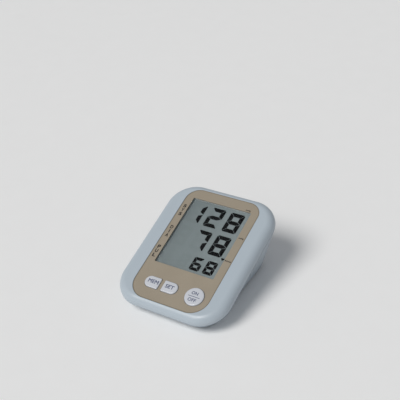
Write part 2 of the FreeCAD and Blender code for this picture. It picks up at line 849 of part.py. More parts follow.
def make_key(key):
    """One key with its flange and stem, and the switch and plunger under it."""
    body = new_body(f"{key}_button")
    pad(body, key_sketch(body, "cap", key, KEY_FLANGE_TOP), f"key_rise - {KEY_FLANGE_TOP}")
    round_edges(body, "top", "key_round", at_height("key_rise"))
    pad(body, key_sketch(body, "flange", key, KEY_FLANGE_LOW, "key_gap + key_flange_lap"), "key_flange")
    across, along = key_centre(key)
    stem = round_sketch(body, "stem", "key_stem_radius", (across, along, PLUNGER_TOP))
    pad(body, stem, f"{KEY_FLANGE_LOW} - {PLUNGER_TOP}")
    low = f"{SWITCH_TOP} - plunger_well"
    rod(f"{key}_plunger", FACE, "plunger_radius", (across, along, SWITCH_TOP), "plunger_rise")
    sides = (f"{across} - switch_size/2", f"{across} + switch_size/2")
    ends = (f"{along} - switch_size/2", f"{along} + switch_size/2")
    housing = box(f"{key}_switch_blank", FACE, sides, ends, (BOARD_TOP, SWITCH_TOP))
    well = rod(
        f"{key}_switch_well", FACE, "plunger_radius + plunger_gap", (across, along, low), "plunger_well"
    )
    cut(f"{key}_switch", housing, [well])


def base_sections(rounding):
    """Insets and heights of the outlines that step round the base's lower edge."""
    return [
        (f"{rounding}*(1 - sin({angle}*1deg))", f"{rounding}*(1 - cos({angle}*1deg))") for angle in BASE_STEPS
    ]


def make_rear_shell():
    """The outer form of the rear cover, and its hollow, each lofted from the base to the rim."""
    forms = []
    skins = (
        ("rear_outside", "0", "base_round"),
        ("rear_inside", "case_wall", "(base_round - case_wall)"),
    )
    for name, inset, rounding in skins:
        body = new_body(name, CASE)
        outlines = []
        for index, (step, rise) in enumerate(base_sections(rounding)):
            shrink = f"({inset} + {step})"
            spot = ("0", "base_shift", f"foot_height + {inset} + {rise}")
            corners = (f"base_corner - {shrink}",) * 2
            size = grown(BASE_OUTLINE, f"-{shrink}")
            outlines.append(rounded_sketch(body, f"base_{index}", size, corners, spot))
        rim_corners = (f"case_corner - {inset}",) * 2
        rim_size = grown(CASE_OUTLINE, f"-{inset}")
        rim = rounded_sketch(body, "rim", rim_size, rim_corners, ("0", "0", "-rim_depth"), frame=FACE)
        loft = body.newObject("PartDesign::AdditiveLoft", f"{name}_loft")
        loft.Profile = outlines[0]
        loft.Sections = [*outlines[1:], rim]
        loft.Ruled = True
        doc.recompute()
        forms.append(body)
    return forms


def bay_blocks():
    """The battery bay's walls, and the hollows for the cells, the door, its hinge and a fingertip."""
    walls = box(
        "bay_walls",
        CASE,
        (f"-{BAY_WIDTH}/2 - bay_wall", f"{BAY_WIDTH}/2 + bay_wall"),
        (f"{BAY_FRONT} - bay_wall", f"{BAY_REAR} + bay_wall"),
        ("foot_height", BAY_TOP),
    )
    hollow = box(
        "bay_hollow",
        CASE,
        (f"-{BAY_WIDTH}/2", f"{BAY_WIDTH}/2"),
        (BAY_FRONT, BAY_REAR),
        ("0", BAY_CEILING),
    )
    rebate = box(
        "door_rebate",
        CASE,
        (f"-{BAY_WIDTH}/2 - door_lap", f"{BAY_WIDTH}/2 + door_lap"),
        (f"{BAY_FRONT} - door_lap", f"{BAY_REAR} + door_lap"),
        ("0", f"{DOOR_TOP} + hinge_pin_gap"),
    )
    reach = f"({DOOR_WIDTH}/2 + hinge_pin_length + hinge_pin_gap)"
    hinge = rod(
        "hinge_holes",
        CASE,
        "hinge_pin_radius + hinge_pin_gap",
        (f"-{reach}", HINGE_PLACE, HINGE_LEVEL),
        f"2*{reach}",
        "x",
    )
    notch = box(
        "finger_notch",
        CASE,
        ("-notch_width/2", "notch_width/2"),
        (BAY_REAR, f"{BAY_REAR} + door_lap + notch_length"),
        ("0", "foot_height + notch_depth"),
    )
    return walls, [hollow, rebate, hinge, notch]


BATTERY_LEADS = [f"{sign}({BAY_WIDTH}/2 - lead_radius - 2*lead_side_gap)" for sign in SIGNS]
FEET = [
    (f"{sign}(base_width/2 - foot_inset)", f"base_shift {way} (base_length/2 - foot_inset)")
    for sign in SIGNS
    for way in "-+"
]


def make_rear_cover():
    """The white rear cover, with posts, the battery bay, pump saddles, and seats on its walls."""
    outside, inside = make_rear_shell()
    shell = cut("rear_shell", outside, [inside])
    walls, cuts = bay_blocks()
    inner = [walls]
    for index, (across, along) in enumerate(CASE_SCREWS, start=1):
        below = f"({POST_TOP} - case_length)"
        inner.append(rod(f"screw_post_{index}", FACE, "post_radius", (across, along, below), "case_length"))
        depth = "(screw_length + screw_room)"
        start = (across, along, f"{SCREW_SEAT} - {depth}")
        cuts.append(rod(f"screw_pilot_{index}", FACE, "screw_radius + screw_gap/2", start, depth))
    saddles = (
        ("head_saddle", f"{CAP_END} + saddle_place", "pump_radius + saddle_gap"),
        ("motor_saddle", f"{CHAMBER_END} + damper_place + damper_length/2 - saddle_width/2", "pump_radius"),
    )
    for name, start, radius in saddles:
        inner.append(
            box(
                name,
                CASE,
                (start, f"{start} + saddle_width"),
                ("pump_axis - saddle_span/2", "pump_axis + saddle_span/2"),
                ("foot_height", f"{PUMP_LEVEL} - pump_radius + saddle_grip"),
            )
        )
        spot = (start, "pump_axis", PUMP_LEVEL)
        cuts.append(rod(f"{name}_cradle", CASE, radius, spot, "saddle_width", "x"))
    inner.append(
        rod(
            "socket_boss",
            CASE,
            "socket_boss_radius",
            ("-case_width/2", "air_axis", "air_height"),
            "case_width/2 + socket_face + socket_boss_depth",
            "x",
        )
    )
    cuts.append(
        rod(
            "socket_recess",
            CASE,
            "socket_recess_radius",
            ("-case_width/2", "air_axis", "air_height"),
            "case_width/2 + socket_face",
            "x",
        )
    )
    cuts.append(
        rod(
            "socket_hole",
            CASE,
            "socket_tube_radius + fit_gap",
            ("socket_face", "air_axis", "air_height"),
            "socket_boss_depth + case_wall",
            "x",
        )
    )
    jack_half = "(jack_width/2 + case_wall)"
    inner.append(
        box(
            "jack_boss",
            CASE,
            (f"-{jack_half}", jack_half),
            ("jack_face - case_wall", "case_length/2"),
            (f"jack_middle - {jack_half}", f"jack_middle + {jack_half}"),
        )
    )
    cuts.append(
        rod(
            "jack_hole",
            CASE,
            "jack_collar_radius + fit_gap",
            ("0", "jack_face - case_wall", "jack_middle"),
            "case_length/2",
            "y",
        )
    )
    for index, (across, along) in enumerate(FEET, start=1):
        spot = (across, along, "0")
        cuts.append(rod(f"foot_seat_{index}", CASE, "foot_radius + fit_gap", spot, "foot_height + foot_sink"))
    for index, across in enumerate(BATTERY_LEADS, start=1):
        spot = (across, cell_place(0), CELL_LEVEL)
        rise = f"{BAY_TOP} - {CELL_LEVEL}"
        cuts.append(rod(f"lead_hole_{index}", CASE, "lead_radius + lead_side_gap", spot, rise))
    trimmed = common("rear_inner", [outside, fuse("rear_inner_blank", inner)])
    return cut("rear_cover", fuse("rear_solid", [shell, trimmed]), cuts)


def make_feet_and_screws():
    """The four feet and the four case screws."""
    feet = [
        rod(f"foot_{index}", CASE, "foot_radius", (across, along, "0"), "foot_height + foot_sink")
        for index, (across, along) in enumerate(FEET, start=1)
    ]
    group("rubber_feet", feet)
    screws = []
    for index, (across, along) in enumerate(CASE_SCREWS, start=1):
        head = rod(
            f"screw_head_{index}", FACE, "screw_head_radius", (across, along, SCREW_SEAT), "screw_head_height"
        )
        low = (across, along, f"{SCREW_SEAT} - screw_length")
        shank = rod(f"screw_shank_{index}", FACE, "screw_radius", low, "screw_length")
        screws.append(fuse(f"case_screw_{index}", [head, shank]))
    group("case_screws", screws)


def make_door():
    """The battery door: a plate with a round hinge edge and a pin at each end."""
    sides = (f"-{DOOR_WIDTH}/2", f"{DOOR_WIDTH}/2")
    plate = box("door_plate", CASE, sides, (HINGE_PLACE, DOOR_REAR), ("foot_height", DOOR_TOP))
    start = (f"-{DOOR_WIDTH}/2", HINGE_PLACE, HINGE_LEVEL)
    edge = rod("door_edge", CASE, "door_thickness/2", start, DOOR_WIDTH, "x")
    reach = f"({DOOR_WIDTH}/2 + hinge_pin_length)"
    pins = rod(
        "door_pins", CASE, "hinge_pin_radius", (f"-{reach}", HINGE_PLACE, HINGE_LEVEL), f"2*{reach}", "x"
    )
    fuse("battery_door", [plate, edge, pins])


def cell_place(index):
    """The Y of one cell's axis."""
    return f"(bay_middle + cell_pitch*({index} - {(CELL_COUNT - 1) / 2}))"


def biarc(start, start_way, end, end_way):
    """Two tangent arcs from a point and direction to a point and direction."""
    chord = end - start
    ways = start_way + end_way
    spread = 2 * (1 - start_way.dot(end_way))
    along = chord.dot(ways)
    reach = (math.sqrt(along**2 + spread * chord.dot(chord)) - along) / spread
    joint = (start + start_way * reach + end - end_way * reach) * 0.5
    return [tangent_arc(start, start_way, joint), tangent_arc(end, end_way * -1, joint)]


def tangent_arc(start, way, end):
    """An arc that leaves a point in a direction and ends at another point."""
    chord = end - start
    flat = Vector(chord).normalize()
    bulge = way - flat * way.dot(flat)
    rise = chord.Length / 2 * math.tan(math.acos(way.dot(flat)) / 2)
    middle = start + chord * 0.5 + bulge.normalize() * rise
    return Part.Arc(start, middle, end).toShape()


def least_gap(point, turns, wire):
    """The least gap between a coil's turns, measured on points of its middle line."""
    marks = [index / TURN_POINTS for index in range(turns * TURN_POINTS + 1)]
    points = [point(mark) for mark in marks]
    far = TURN_POINTS // 2
    return min((b - a).Length for i, a in enumerate(points) for b in points[i + far :]) - 2 * wire


def cone_spring(length, base_radius, tip_radius, wire, turns):
    """A conical coil along +X from the origin, its turns swept on quarter-turn biarcs."""
    steps = 4 * turns
    rise = length - 2 * wire

    def point(turn):
        share = turn / turns
        radius = base_radius + (tip_radius - base_radius) * share
        angle = 2 * math.pi * turn
        return Vector(wire + rise * share, radius * math.cos(angle), radius * math.sin(angle))

    def way(turn):
        step = 1e-4
        return (point(turn + step) - point(turn - step)).normalize()

    marks = [index * turns / steps for index in range(steps + 1)]
    edges = []
    for first, last in zip(marks, marks[1:]):
        edges += biarc(point(first), way(first), point(last), way(last))
    path = Part.Wire(Part.__sortEdges__(edges))
    ring = Part.Wire(Part.makeCircle(wire, point(0), way(0)))
    return path.makePipeShell([ring], True, False), least_gap(point, turns, wire)


def make_cells():
    """The four cells, head to tail, with a spring and a plate at the ends of each."""
    wall = half(BAY_WIDTH)
    plates = []
    springs = []
    coil, gap = cone_spring(
        value("spring_room"),
        value("spring_base_radius"),
        value("spring_tip_radius"),
        value("spring_wire"),
        SPRING_TURNS,
    )
    print(f"battery springs: least gap between turns {gap:.2f} mm")
    for index in range(CELL_COUNT):
        along = cell_place(index)
        flipped = index % 2 == 1
        case_length = "(cell_length - cell_nub_height)"
        plus_end = f"({wall} - contact_thickness - cell_nub_height)"
        if flipped:
            start, nub = f"-{plus_end}", f"-{plus_end} - cell_nub_height"
        else:
            start, nub = f"{plus_end} - {case_length}", plus_end
        case_start = (start, along, CELL_LEVEL)
        case = rod(f"cell_case_{index + 1}", CASE, "cell_radius", case_start, case_length, "x")
        tip = rod(
            f"cell_nub_{index + 1}", CASE, "cell_nub_radius", (nub, along, CELL_LEVEL), "cell_nub_height", "x"
        )
        fuse(f"battery_cell_{index + 1}", [case, tip])
        ends = (f"{along} - contact_width/2", f"{along} + contact_width/2")
        levels = (f"{CELL_LEVEL} - contact_width/2", f"{CELL_LEVEL} + contact_width/2")
        seat = f"({wall} - contact_thickness)"
        plates.append(box(f"contact_left_{index + 1}", CASE, (f"-{wall}", f"-{seat}"), ends, levels))
        plates.append(box(f"contact_right_{index + 1}", CASE, (seat, wall), ends, levels))
        spring = doc.addObject("Part::Feature", f"battery_spring_{index + 1}")
        spring.Shape = coil
        if flipped:
            place(spring, CASE, (seat, along, CELL_LEVEL), "vector(0; 0; 1); 180")
        else:
            place(spring, CASE, (f"-{seat}", along, CELL_LEVEL))
        springs.append(spring)
    group("battery_contacts", plates)
    group("battery_springs", springs)


def pump_rod(name, radius, start, length):
    """A cylinder on the pump's axis."""
    return rod(name, CASE, radius, (start, "pump_axis", PUMP_LEVEL), length, "x")


def make_pump():
    """The air pump: motor, crank, wobble plate, diaphragm, head and cap, from right to left."""
    axle_hole = "shaft_radius + bearing_gap"
    can = pump_rod("can_outside", "motor_radius", CHAMBER_END, "motor_length")
    can_hollow = pump_rod(
        "can_hollow",
        "motor_radius - can_wall",
        f"{CHAMBER_END} + can_front_wall",
        "motor_length - can_front_wall",
    )
    can_hole = pump_rod("can_hole", axle_hole, CHAMBER_END, "can_front_wall")
    cut("pump_motor_can", can, [can_hollow, can_hole])

    end = pump_rod("end_cap_blank", "motor_radius", MOTOR_END, "end_cap_length")
    end_hole = pump_rod("end_cap_hole", axle_hole, MOTOR_END, "end_cap_length - end_cap_wall")
    cut("motor_end_cap", end, [end_hole])

    ring_radius = "(motor_radius - can_wall)"
    ring_start = f"({CHAMBER_END} + (motor_length - rotor_length)/2)"
    ring = tube(
        "magnet_ring",
        CASE,
        ring_radius,
        f"{ring_radius} - magnet_thickness",
        (ring_start, "pump_axis", PUMP_LEVEL),
        "rotor_length",
        "x",
    )
    slots = box(
        "magnet_gap",
        CASE,
        (ring_start, f"{ring_start} + rotor_length"),
        ("pump_axis - magnet_slot/2", "pump_axis + magnet_slot/2"),
        (f"{PUMP_LEVEL} - motor_radius", f"{PUMP_LEVEL} + motor_radius"),
    )
    cut("motor_magnets", ring, [slots])

    core = pump_rod("rotor_core", "rotor_radius", ring_start, "rotor_length")
    shaft_end = f"({MOTOR_END} + end_cap_length - end_cap_wall - shaft_end_gap)"
    shaft = pump_rod("rotor_shaft", "shaft_radius", SHAFT_START, f"{shaft_end} - {SHAFT_START}")
    fuse("motor_rotor", [core, shaft])

    lean = "vector(0; 1; 0); 90 - wobble_angle"
    reach = f"({CRANK_START} - {WOBBLE_PLACE})"
    disc = pump_rod("crank_disc", "crank_radius", CRANK_START, "crank_length")
    crank_hole = pump_rod("crank_hole", axle_hole, SHAFT_START, "crank_length")
    pin = doc.addObject("Part::Cylinder", "wobble_pin")
    pin.setExpression("Radius", bound("wobble_pin_radius"))
    pin.setExpression("Height", bound(f"{reach} + crank_length/2"))
    place(pin, CASE, (WOBBLE_PLACE, "pump_axis", PUMP_LEVEL), lean)
    shaft_seat = cut("crank_bored", disc, [crank_hole])
    eye = common("crank_pin_end", [pin, pump_rod("crank_keep", "crank_radius", WOBBLE_PLACE, reach)])
    fuse("pump_crank", [shaft_seat, eye])

    plate = doc.addObject("Part::Cylinder", "wobble_disc")
    plate.setExpression("Radius", bound("wobble_radius"))
    plate.setExpression("Height", bound("wobble_thickness"))
    hub = doc.addObject("Part::Cylinder", "wobble_hub")
    hub.setExpression("Radius", bound("wobble_hub_radius"))
    hub.setExpression("Height", bound("wobble_hub_length"))
    hole = doc.addObject("Part::Cylinder", "wobble_hole")
    hole.setExpression("Radius", bound("wobble_pin_radius + bearing_gap"))
    hole.setExpression("Height", bound("wobble_hub_length"))
    for item in (plate, hub, hole):
        place(item, CASE, (WOBBLE_PLACE, "pump_axis", PUMP_LEVEL), lean)
    cut("wobble_plate", fuse("wobble_solid", [plate, hub]), [hole])

    chamber = pump_rod("chamber_outside", "pump_radius", DIAPHRAGM_END, "chamber_length")
    chamber_hollow = pump_rod(
        "chamber_hollow", "pump_radius - chamber_wall", DIAPHRAGM_END, "chamber_length - chamber_wall"
    )
    neck = pump_rod("chamber_neck", axle_hole, f"{CHAMBER_END} - chamber_wall", "chamber_wall")
    cut("pump_chamber", chamber, [chamber_hollow, neck])
    pump_rod("pump_diaphragm", "pump_radius", HEAD_END, "diaphragm_length")
    pump_rod("pump_head", "pump_radius", CAP_END, "head_length")

    cap = pump_rod("cap_blank", "pump_radius", "pump_left", "cap_length")
    tip = "(manifold_high + barb_length + 2*hose_stop)"
    port = (PUMP_PORT, tip, "air_height")
    nozzle = rod("cap_nozzle", CASE, "barb_radius", port, f"pump_axis - {tip}", "y")
    bore = rod("cap_bore", CASE, "barb_bore", port, f"pump_axis - {tip}", "y")
    plenum = pump_rod("cap_plenum", "plenum_radius", "pump_left + chamber_wall", "cap_length - chamber_wall")
    cut("pump_cap", fuse("cap_solid", [cap, nozzle]), [bore, plenum])

    tube(
        "pump_damper",
        CASE,
        "pump_radius",
        "motor_radius",
        (f"{CHAMBER_END} + damper_place", "pump_axis", PUMP_LEVEL),
        "damper_length",
        "x",
    )
    foam_middle = f"({CHAMBER_END} + damper_place + damper_length/2)"
    along, _ = case_to_face("pump_axis", PUMP_LEVEL)
    _, low = case_to_face("pump_axis", f"({PUMP_LEVEL} + pump_radius - foam_grip)")
    foam = box(
        "foam_blank",
        FACE,
        (f"{foam_middle} - foam_width/2", f"{foam_middle} + foam_width/2"),
        (f"{along} - foam_length/2", f"{along} + foam_length/2"),
        (low, BOARD_LOW),
    )
    cut("pump_foam", foam, [pump_rod("foam_cradle", "pump_radius + saddle_gap", "pump_left", "case_width")])


def make_air_line():
    """The manifold over the bay's roof, the valve and sensor on the board, and four straight hoses."""
    air = ("air_axis", "air_height")
    sensor_height = f"({BOARD_LOW} - sensor_axis)"
    sensor = face_to_case("sensor_middle", sensor_height)
    block = box(
        "manifold_block",
        CASE,
        ("manifold_start", "manifold_end"),
        ("manifold_low", "manifold_high"),
        ("manifold_top - manifold_height", "manifold_top"),
    )
    foot = box(
        "manifold_foot",
        CASE,
        ("manifold_start + manifold_foot_inset", "manifold_end - manifold_foot_inset"),
        ("manifold_low + manifold_foot_inset", "manifold_high - manifold_foot_inset"),
        (BAY_TOP, "manifold_top - manifold_height"),
    )
    left = ("manifold_start - barb_length", *air)
    across = "(manifold_width + 2*barb_length)"
    rear = (PUMP_PORT, "manifold_high", "air_height")
    barbs = [
        rod("socket_and_valve_barbs", CASE, "barb_radius", left, across, "x"),
        rod("sensor_barb", CASE, "barb_radius", ("manifold_end", *sensor), "barb_length", "x"),
        rod("pump_barb", CASE, "barb_radius", rear, "barb_length", "y"),
    ]
    ways = [
        rod("manifold_way", CASE, "barb_bore", left, across, "x"),
        rod(
            "sensor_way",
            CASE,
            "barb_bore",
            ("manifold_start + manifold_width/2", *sensor),
            "manifold_width/2 + barb_length",
            "x",
        ),
        rod(
            "pump_way",
            CASE,
            "barb_bore",
            (PUMP_PORT, "manifold_low + manifold_wall", "air_height"),
            "manifold_length - manifold_wall + barb_length",
            "y",
        ),
    ]
    cut("air_manifold", fuse("manifold_solid", [block, foot, *barbs]), ways)

    def hose(name, start, end, axis):
        """A hose between two faces, a little short of each."""
        low = {"x": 0, "y": 1}[axis]
        first = list(start)
        first[low] = f"({start[low]} + hose_stop/2)"
        length = f"({end}) - ({start[low]}) - hose_stop"
        tube(name, CASE, HOSE_RADIUS, HOSE_BORE, tuple(first), length, axis)

    hose("socket_hose", ("socket_end", *air), "manifold_start", "x")
    hose("valve_hose", ("manifold_end", *air), "valve_start", "x")
    hose("sensor_hose", ("manifold_end", *sensor), "sensor_start", "x")
    hose("pump_hose", rear, "pump_axis - pump_radius", "y")

    valve_end = "(valve_start + valve_length)"
    valve_sides = ("valve_side", "valve_side + valve_width")
    valve_levels = (f"{BOARD_LOW} - valve_height", BOARD_LOW)
    body = box("valve_blank", FACE, ("valve_start", valve_end), valve_sides, valve_levels)
    nozzle = ("valve_start - barb_length", NOZZLE_ALONG, NOZZLE_HEIGHT)
    nose = rod("valve_nozzle", FACE, "barb_radius", nozzle, "barb_length", "x")
    way_length = "barb_length + valve_length - valve_bore_depth + valve_stroke"
    nose_way = rod("valve_way", FACE, "barb_bore", nozzle, way_length, "x")
    bore_start = f"({valve_end} - valve_bore_depth)"
    core = ("valve_side + valve_width/2", f"{BOARD_LOW} - valve_height/2")
    well = rod("valve_well", FACE, "valve_bore_radius", (bore_start, *core), "valve_bore_depth", "x")
    cut("valve_body", fuse("valve_solid", [body, nose]), [nose_way, well])
    rod(
        "valve_plunger",
        FACE,
        "valve_bore_radius - valve_plunger_gap",
        (f"{bore_start} + valve_stroke + hose_stop", *core),
        "valve_bore_depth - valve_stroke - 2*hose_stop",
        "x",
    )
    box("valve_end_plate", FACE, (valve_end, f"{valve_end} + valve_cover"), valve_sides, valve_levels)

    sensor_block = box(
        "sensor_block",
        FACE,
        ("sensor_start", "sensor_start + sensor_size"),
        ("sensor_middle - sensor_size/2", "sensor_middle + sensor_size/2"),
        (f"{BOARD_LOW} - sensor_height", BOARD_LOW),
    )
    tap = ("sensor_start - barb_length", "sensor_middle", sensor_height)
    stub = rod("sensor_stub", FACE, "barb_radius", tap, "barb_length", "x")
    stub_way = rod("sensor_stub_way", FACE, "barb_bore", tap, "barb_length + sensor_size/2", "x")
    cut("pressure_sensor", fuse("sensor_solid", [sensor_block, stub]), [stub_way])


def make_air_socket():
    """The socket for the cuff's air plug, in the recess on the left side."""
    spot = ("air_axis", "air_height")
    face = "(socket_face - socket_flange)"
    parts = [
        rod("socket_flange_ring", CASE, "socket_flange_radius", (face, *spot), "socket_flange", "x"),
        rod("socket_tube", CASE, "socket_tube_radius", (face, *spot), "socket_flange + socket_tail", "x"),
        rod("socket_barb", CASE, "barb_radius", ("socket_end", *spot), "barb_length", "x"),
    ]
    ways = [
        rod("socket_bore", CASE, "socket_bore_radius", (face, *spot), "socket_bore_depth", "x"),
        rod("socket_way", CASE, "barb_bore", (face, *spot), "socket_flange + socket_tail + barb_length", "x"),
    ]
    cut("air_socket", fuse("socket_solid", parts), ways)


def make_jack():
    """The power jack behind the rear wall, with its centre pin."""
    sides = ("-jack_width/2", "jack_width/2")
    levels = ("jack_middle - jack_height/2", "jack_middle + jack_height/2")
    block = box("jack_block", CASE, sides, (JACK_FRONT, "jack_face - case_wall"), levels)
    spot = ("0", "jack_face - case_wall", "jack_middle")
    collar = rod("jack_collar", CASE, "jack_collar_radius", spot, "case_wall", "y")
    start = ("0", "jack_face - jack_bore_depth", "jack_middle")
    bore = rod("jack_bore", CASE, "jack_bore_radius", start, "jack_bore_depth", "y")
    cut("dc_jack", fuse("jack_solid", [block, collar]), [bore])
    rod("dc_jack_pin", CASE, "jack_pin_radius", start, "jack_bore_depth - jack_pin_short", "y")


def make_leads():
    """The leads from the motor, the cells and the power jack up to the board."""

    def straight(name, across, along, low):
        """A lead that stands under the board."""
        length = f"{board_underside(along)} - lead_gap - ({low})"
        return rod(name, CASE, "lead_radius", (across, along, low), length)

    motor_leads = []
    for index, sign in enumerate("-+", start=1):
        along = f"(pump_axis {sign} motor_lead_spread)"
        start = Vector(value(f"{MOTOR_END} + end_cap_length"), value(along), value(PUMP_LEVEL))
        bend = value("lead_bend")
        turn_in = start + Vector(value("lead_start"), 0, 0)
        turn_out = turn_in + Vector(bend, 0, bend)
        middle = turn_in + Vector(bend * math.sin(math.pi / 4), 0, bend * (1 - math.cos(math.pi / 4)))
        end = Vector(turn_out.x, turn_out.y, value(f"{board_underside(along)} - lead_gap"))
        path = Part.Wire(
            [
                Part.LineSegment(start, turn_in).toShape(),
                Part.Arc(turn_in, middle, turn_out).toShape(),
                Part.LineSegment(turn_out, end).toShape(),
            ]
        )
        ring = Part.Wire(Part.makeCircle(value("lead_radius"), start, Vector(1, 0, 0)))
        lead = doc.addObject("Part::Feature", f"motor_lead_{index}")
        lead.Shape = path.makePipeShell([ring], True, False)
        motor_leads.append(lead)
    group("motor_leads", motor_leads)
    low = f"{CELL_LEVEL} + contact_width/2"
    group(
        "battery_leads",
        [
            straight(f"battery_lead_{index}", across, cell_place(0), low)
            for index, across in enumerate(BATTERY_LEADS, start=1)
        ],
    )
    top = "jack_middle + jack_height/2"
    lead_place = f"({JACK_FRONT} + jack_lead_place)"
    group(
        "jack_leads",
        [
            straight(f"jack_lead_{index}", f"{sign}jack_lead_spread", lead_place, top)
            for index, sign in enumerate(SIGNS, start=1)
        ],
    )


make_front_cover()
make_fascia()
make_window()
make_display()
make_board()
for each_key in KEYS:
    make_key(each_key)
make_rear_cover()
make_feet_and_screws()
make_door()
make_cells()
make_pump()
make_air_line()
make_air_socket()
make_jack()
make_leads()
doc.recompute()

NODES = [
    "front_cover",
    "rear_cover",
    "fascia_plate",
    "display_window",
    "lcd_gasket",
    "lcd_front_glass",
    "lcd_rear_glass",
    "lcd_holder",
    "lcd_connector",
    "main_board",
    "board_screws",
    "board_chips",
    "buzzer",
    *[f"{key}_{part}" for key in KEYS for part in ("button", "plunger", "switch")],
    "rubber_feet",
    "case_screws",
    "battery_door",
    *[f"battery_cell_{index + 1}" for index in range(CELL_COUNT)],
    "battery_contacts",
    "battery_springs",
    "pump_motor_can",
    "motor_end_cap",
    "motor_magnets",
    "motor_rotor",
    "pump_crank",
    "wobble_plate",
    "pump_chamber",
    "pump_diaphragm",
    "pump_head",
    "pump_cap",
    "pump_damper",
    "pump_foam",
    "air_manifold",
    "socket_hose",
    "valve_hose",
    "sensor_hose",
    "pump_hose",
    "valve_body",
    "valve_plunger",
    "valve_end_plate",
    "pressure_sensor",
    "air_socket",
    "dc_jack",
    "dc_jack_pin",
    "motor_leads",
    "battery_leads",
    "jack_leads",
]

failed = [item.Name for item in doc.Objects if {"Invalid", "Error"} & set(item.State)]
if failed:
    raise RuntimeError(f"objects that failed: {failed}")
shapes = {name: doc.getObject(name).Shape for name in NODES}
unsound = [name for name, shape in shapes.items() if shape.isNull() or not shape.isValid()]
if unsound:
    raise RuntimeError(f"sub-parts without a sound shape: {unsound}")
os.makedirs("parts", exist_ok=True)
for name, shape in shapes.items():
    doc.getObject(name).Label = name
    shape.exportStep(f"parts/{name}.step")
    print(f"{name}: {len(shape.Solids)} solid(s), {shape.Volume:.1f} mm3")
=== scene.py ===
import json
import logging
import math
from dataclasses import dataclass, field, replace
from enum import Enum
from functools import cached_property
from itertools import product

import bpy
import numpy as np
from mathutils import Matrix, Quaternion, Vector


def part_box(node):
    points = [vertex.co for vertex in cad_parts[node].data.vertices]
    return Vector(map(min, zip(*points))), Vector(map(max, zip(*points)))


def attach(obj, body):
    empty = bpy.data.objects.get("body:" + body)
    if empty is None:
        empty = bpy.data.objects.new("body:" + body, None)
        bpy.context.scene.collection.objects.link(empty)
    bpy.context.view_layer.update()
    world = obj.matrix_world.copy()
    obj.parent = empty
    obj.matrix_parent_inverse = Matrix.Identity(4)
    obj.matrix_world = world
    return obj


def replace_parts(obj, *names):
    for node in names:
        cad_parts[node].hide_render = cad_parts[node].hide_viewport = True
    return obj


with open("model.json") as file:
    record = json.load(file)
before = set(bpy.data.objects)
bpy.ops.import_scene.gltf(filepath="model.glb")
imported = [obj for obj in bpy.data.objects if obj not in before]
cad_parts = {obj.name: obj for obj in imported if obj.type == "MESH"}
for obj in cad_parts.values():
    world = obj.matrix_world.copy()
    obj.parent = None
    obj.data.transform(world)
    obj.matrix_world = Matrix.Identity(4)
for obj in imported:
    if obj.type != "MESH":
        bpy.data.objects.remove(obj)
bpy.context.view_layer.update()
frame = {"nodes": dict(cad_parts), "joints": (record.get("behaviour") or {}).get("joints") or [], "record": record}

Triple = tuple[float, float, float]
Four = tuple[float, float, float, float]
Array = np.ndarray
Label = tuple[str, float, float, float, float]
Node = bpy.types.Node
Socket = bpy.types.NodeSocket

LOG = logging.getLogger("monitor")
MM = 0.001
MARKS_SCALE = 60.0
GRAIN_TONE_SCALE = 42.0
FLAKE_TONE_SCALE = 30.0
BUMP_STRENGTH = 0.35
MIX_INPUTS = (0, 6, 7)
MIX_OUTPUT = 2
PRINT_LIFT = 0.005
ROUND_STEPS = 8
ROUND_TOLERANCE = 0.01
OUTLINE_STEPS = 40
FASCIA_RADII: Four = (16.0, 13.0, 13.0, 16.0)


def linear(colour: Triple, factor: float = 1.0) -> Four:
    """A screen colour as a linear one, lighter or darker by a factor.

    Args:
        colour: Red, green and blue, 0 to 255.
        factor: What the linear channels are multiplied by.

    Returns:
        The linear colour with an alpha of 1.
    """
    share = np.array(colour) / 255.0
    curve = ((share + 0.055) / 1.055) ** 2.4
    channels = np.where(share <= 0.04045, share / 12.92, curve) * factor
    return (*channels.tolist(), 1.0)


class Texture(Enum):
    """How a surface is broken up close to, and the marks that handling leaves."""

    MOULDED = "moulded_grain"
    BRUSHED = "brushed_lines"
    FLAKE = "coat_flake"
    CELLS = "open_cells"
    MARKS = "handling_marks"


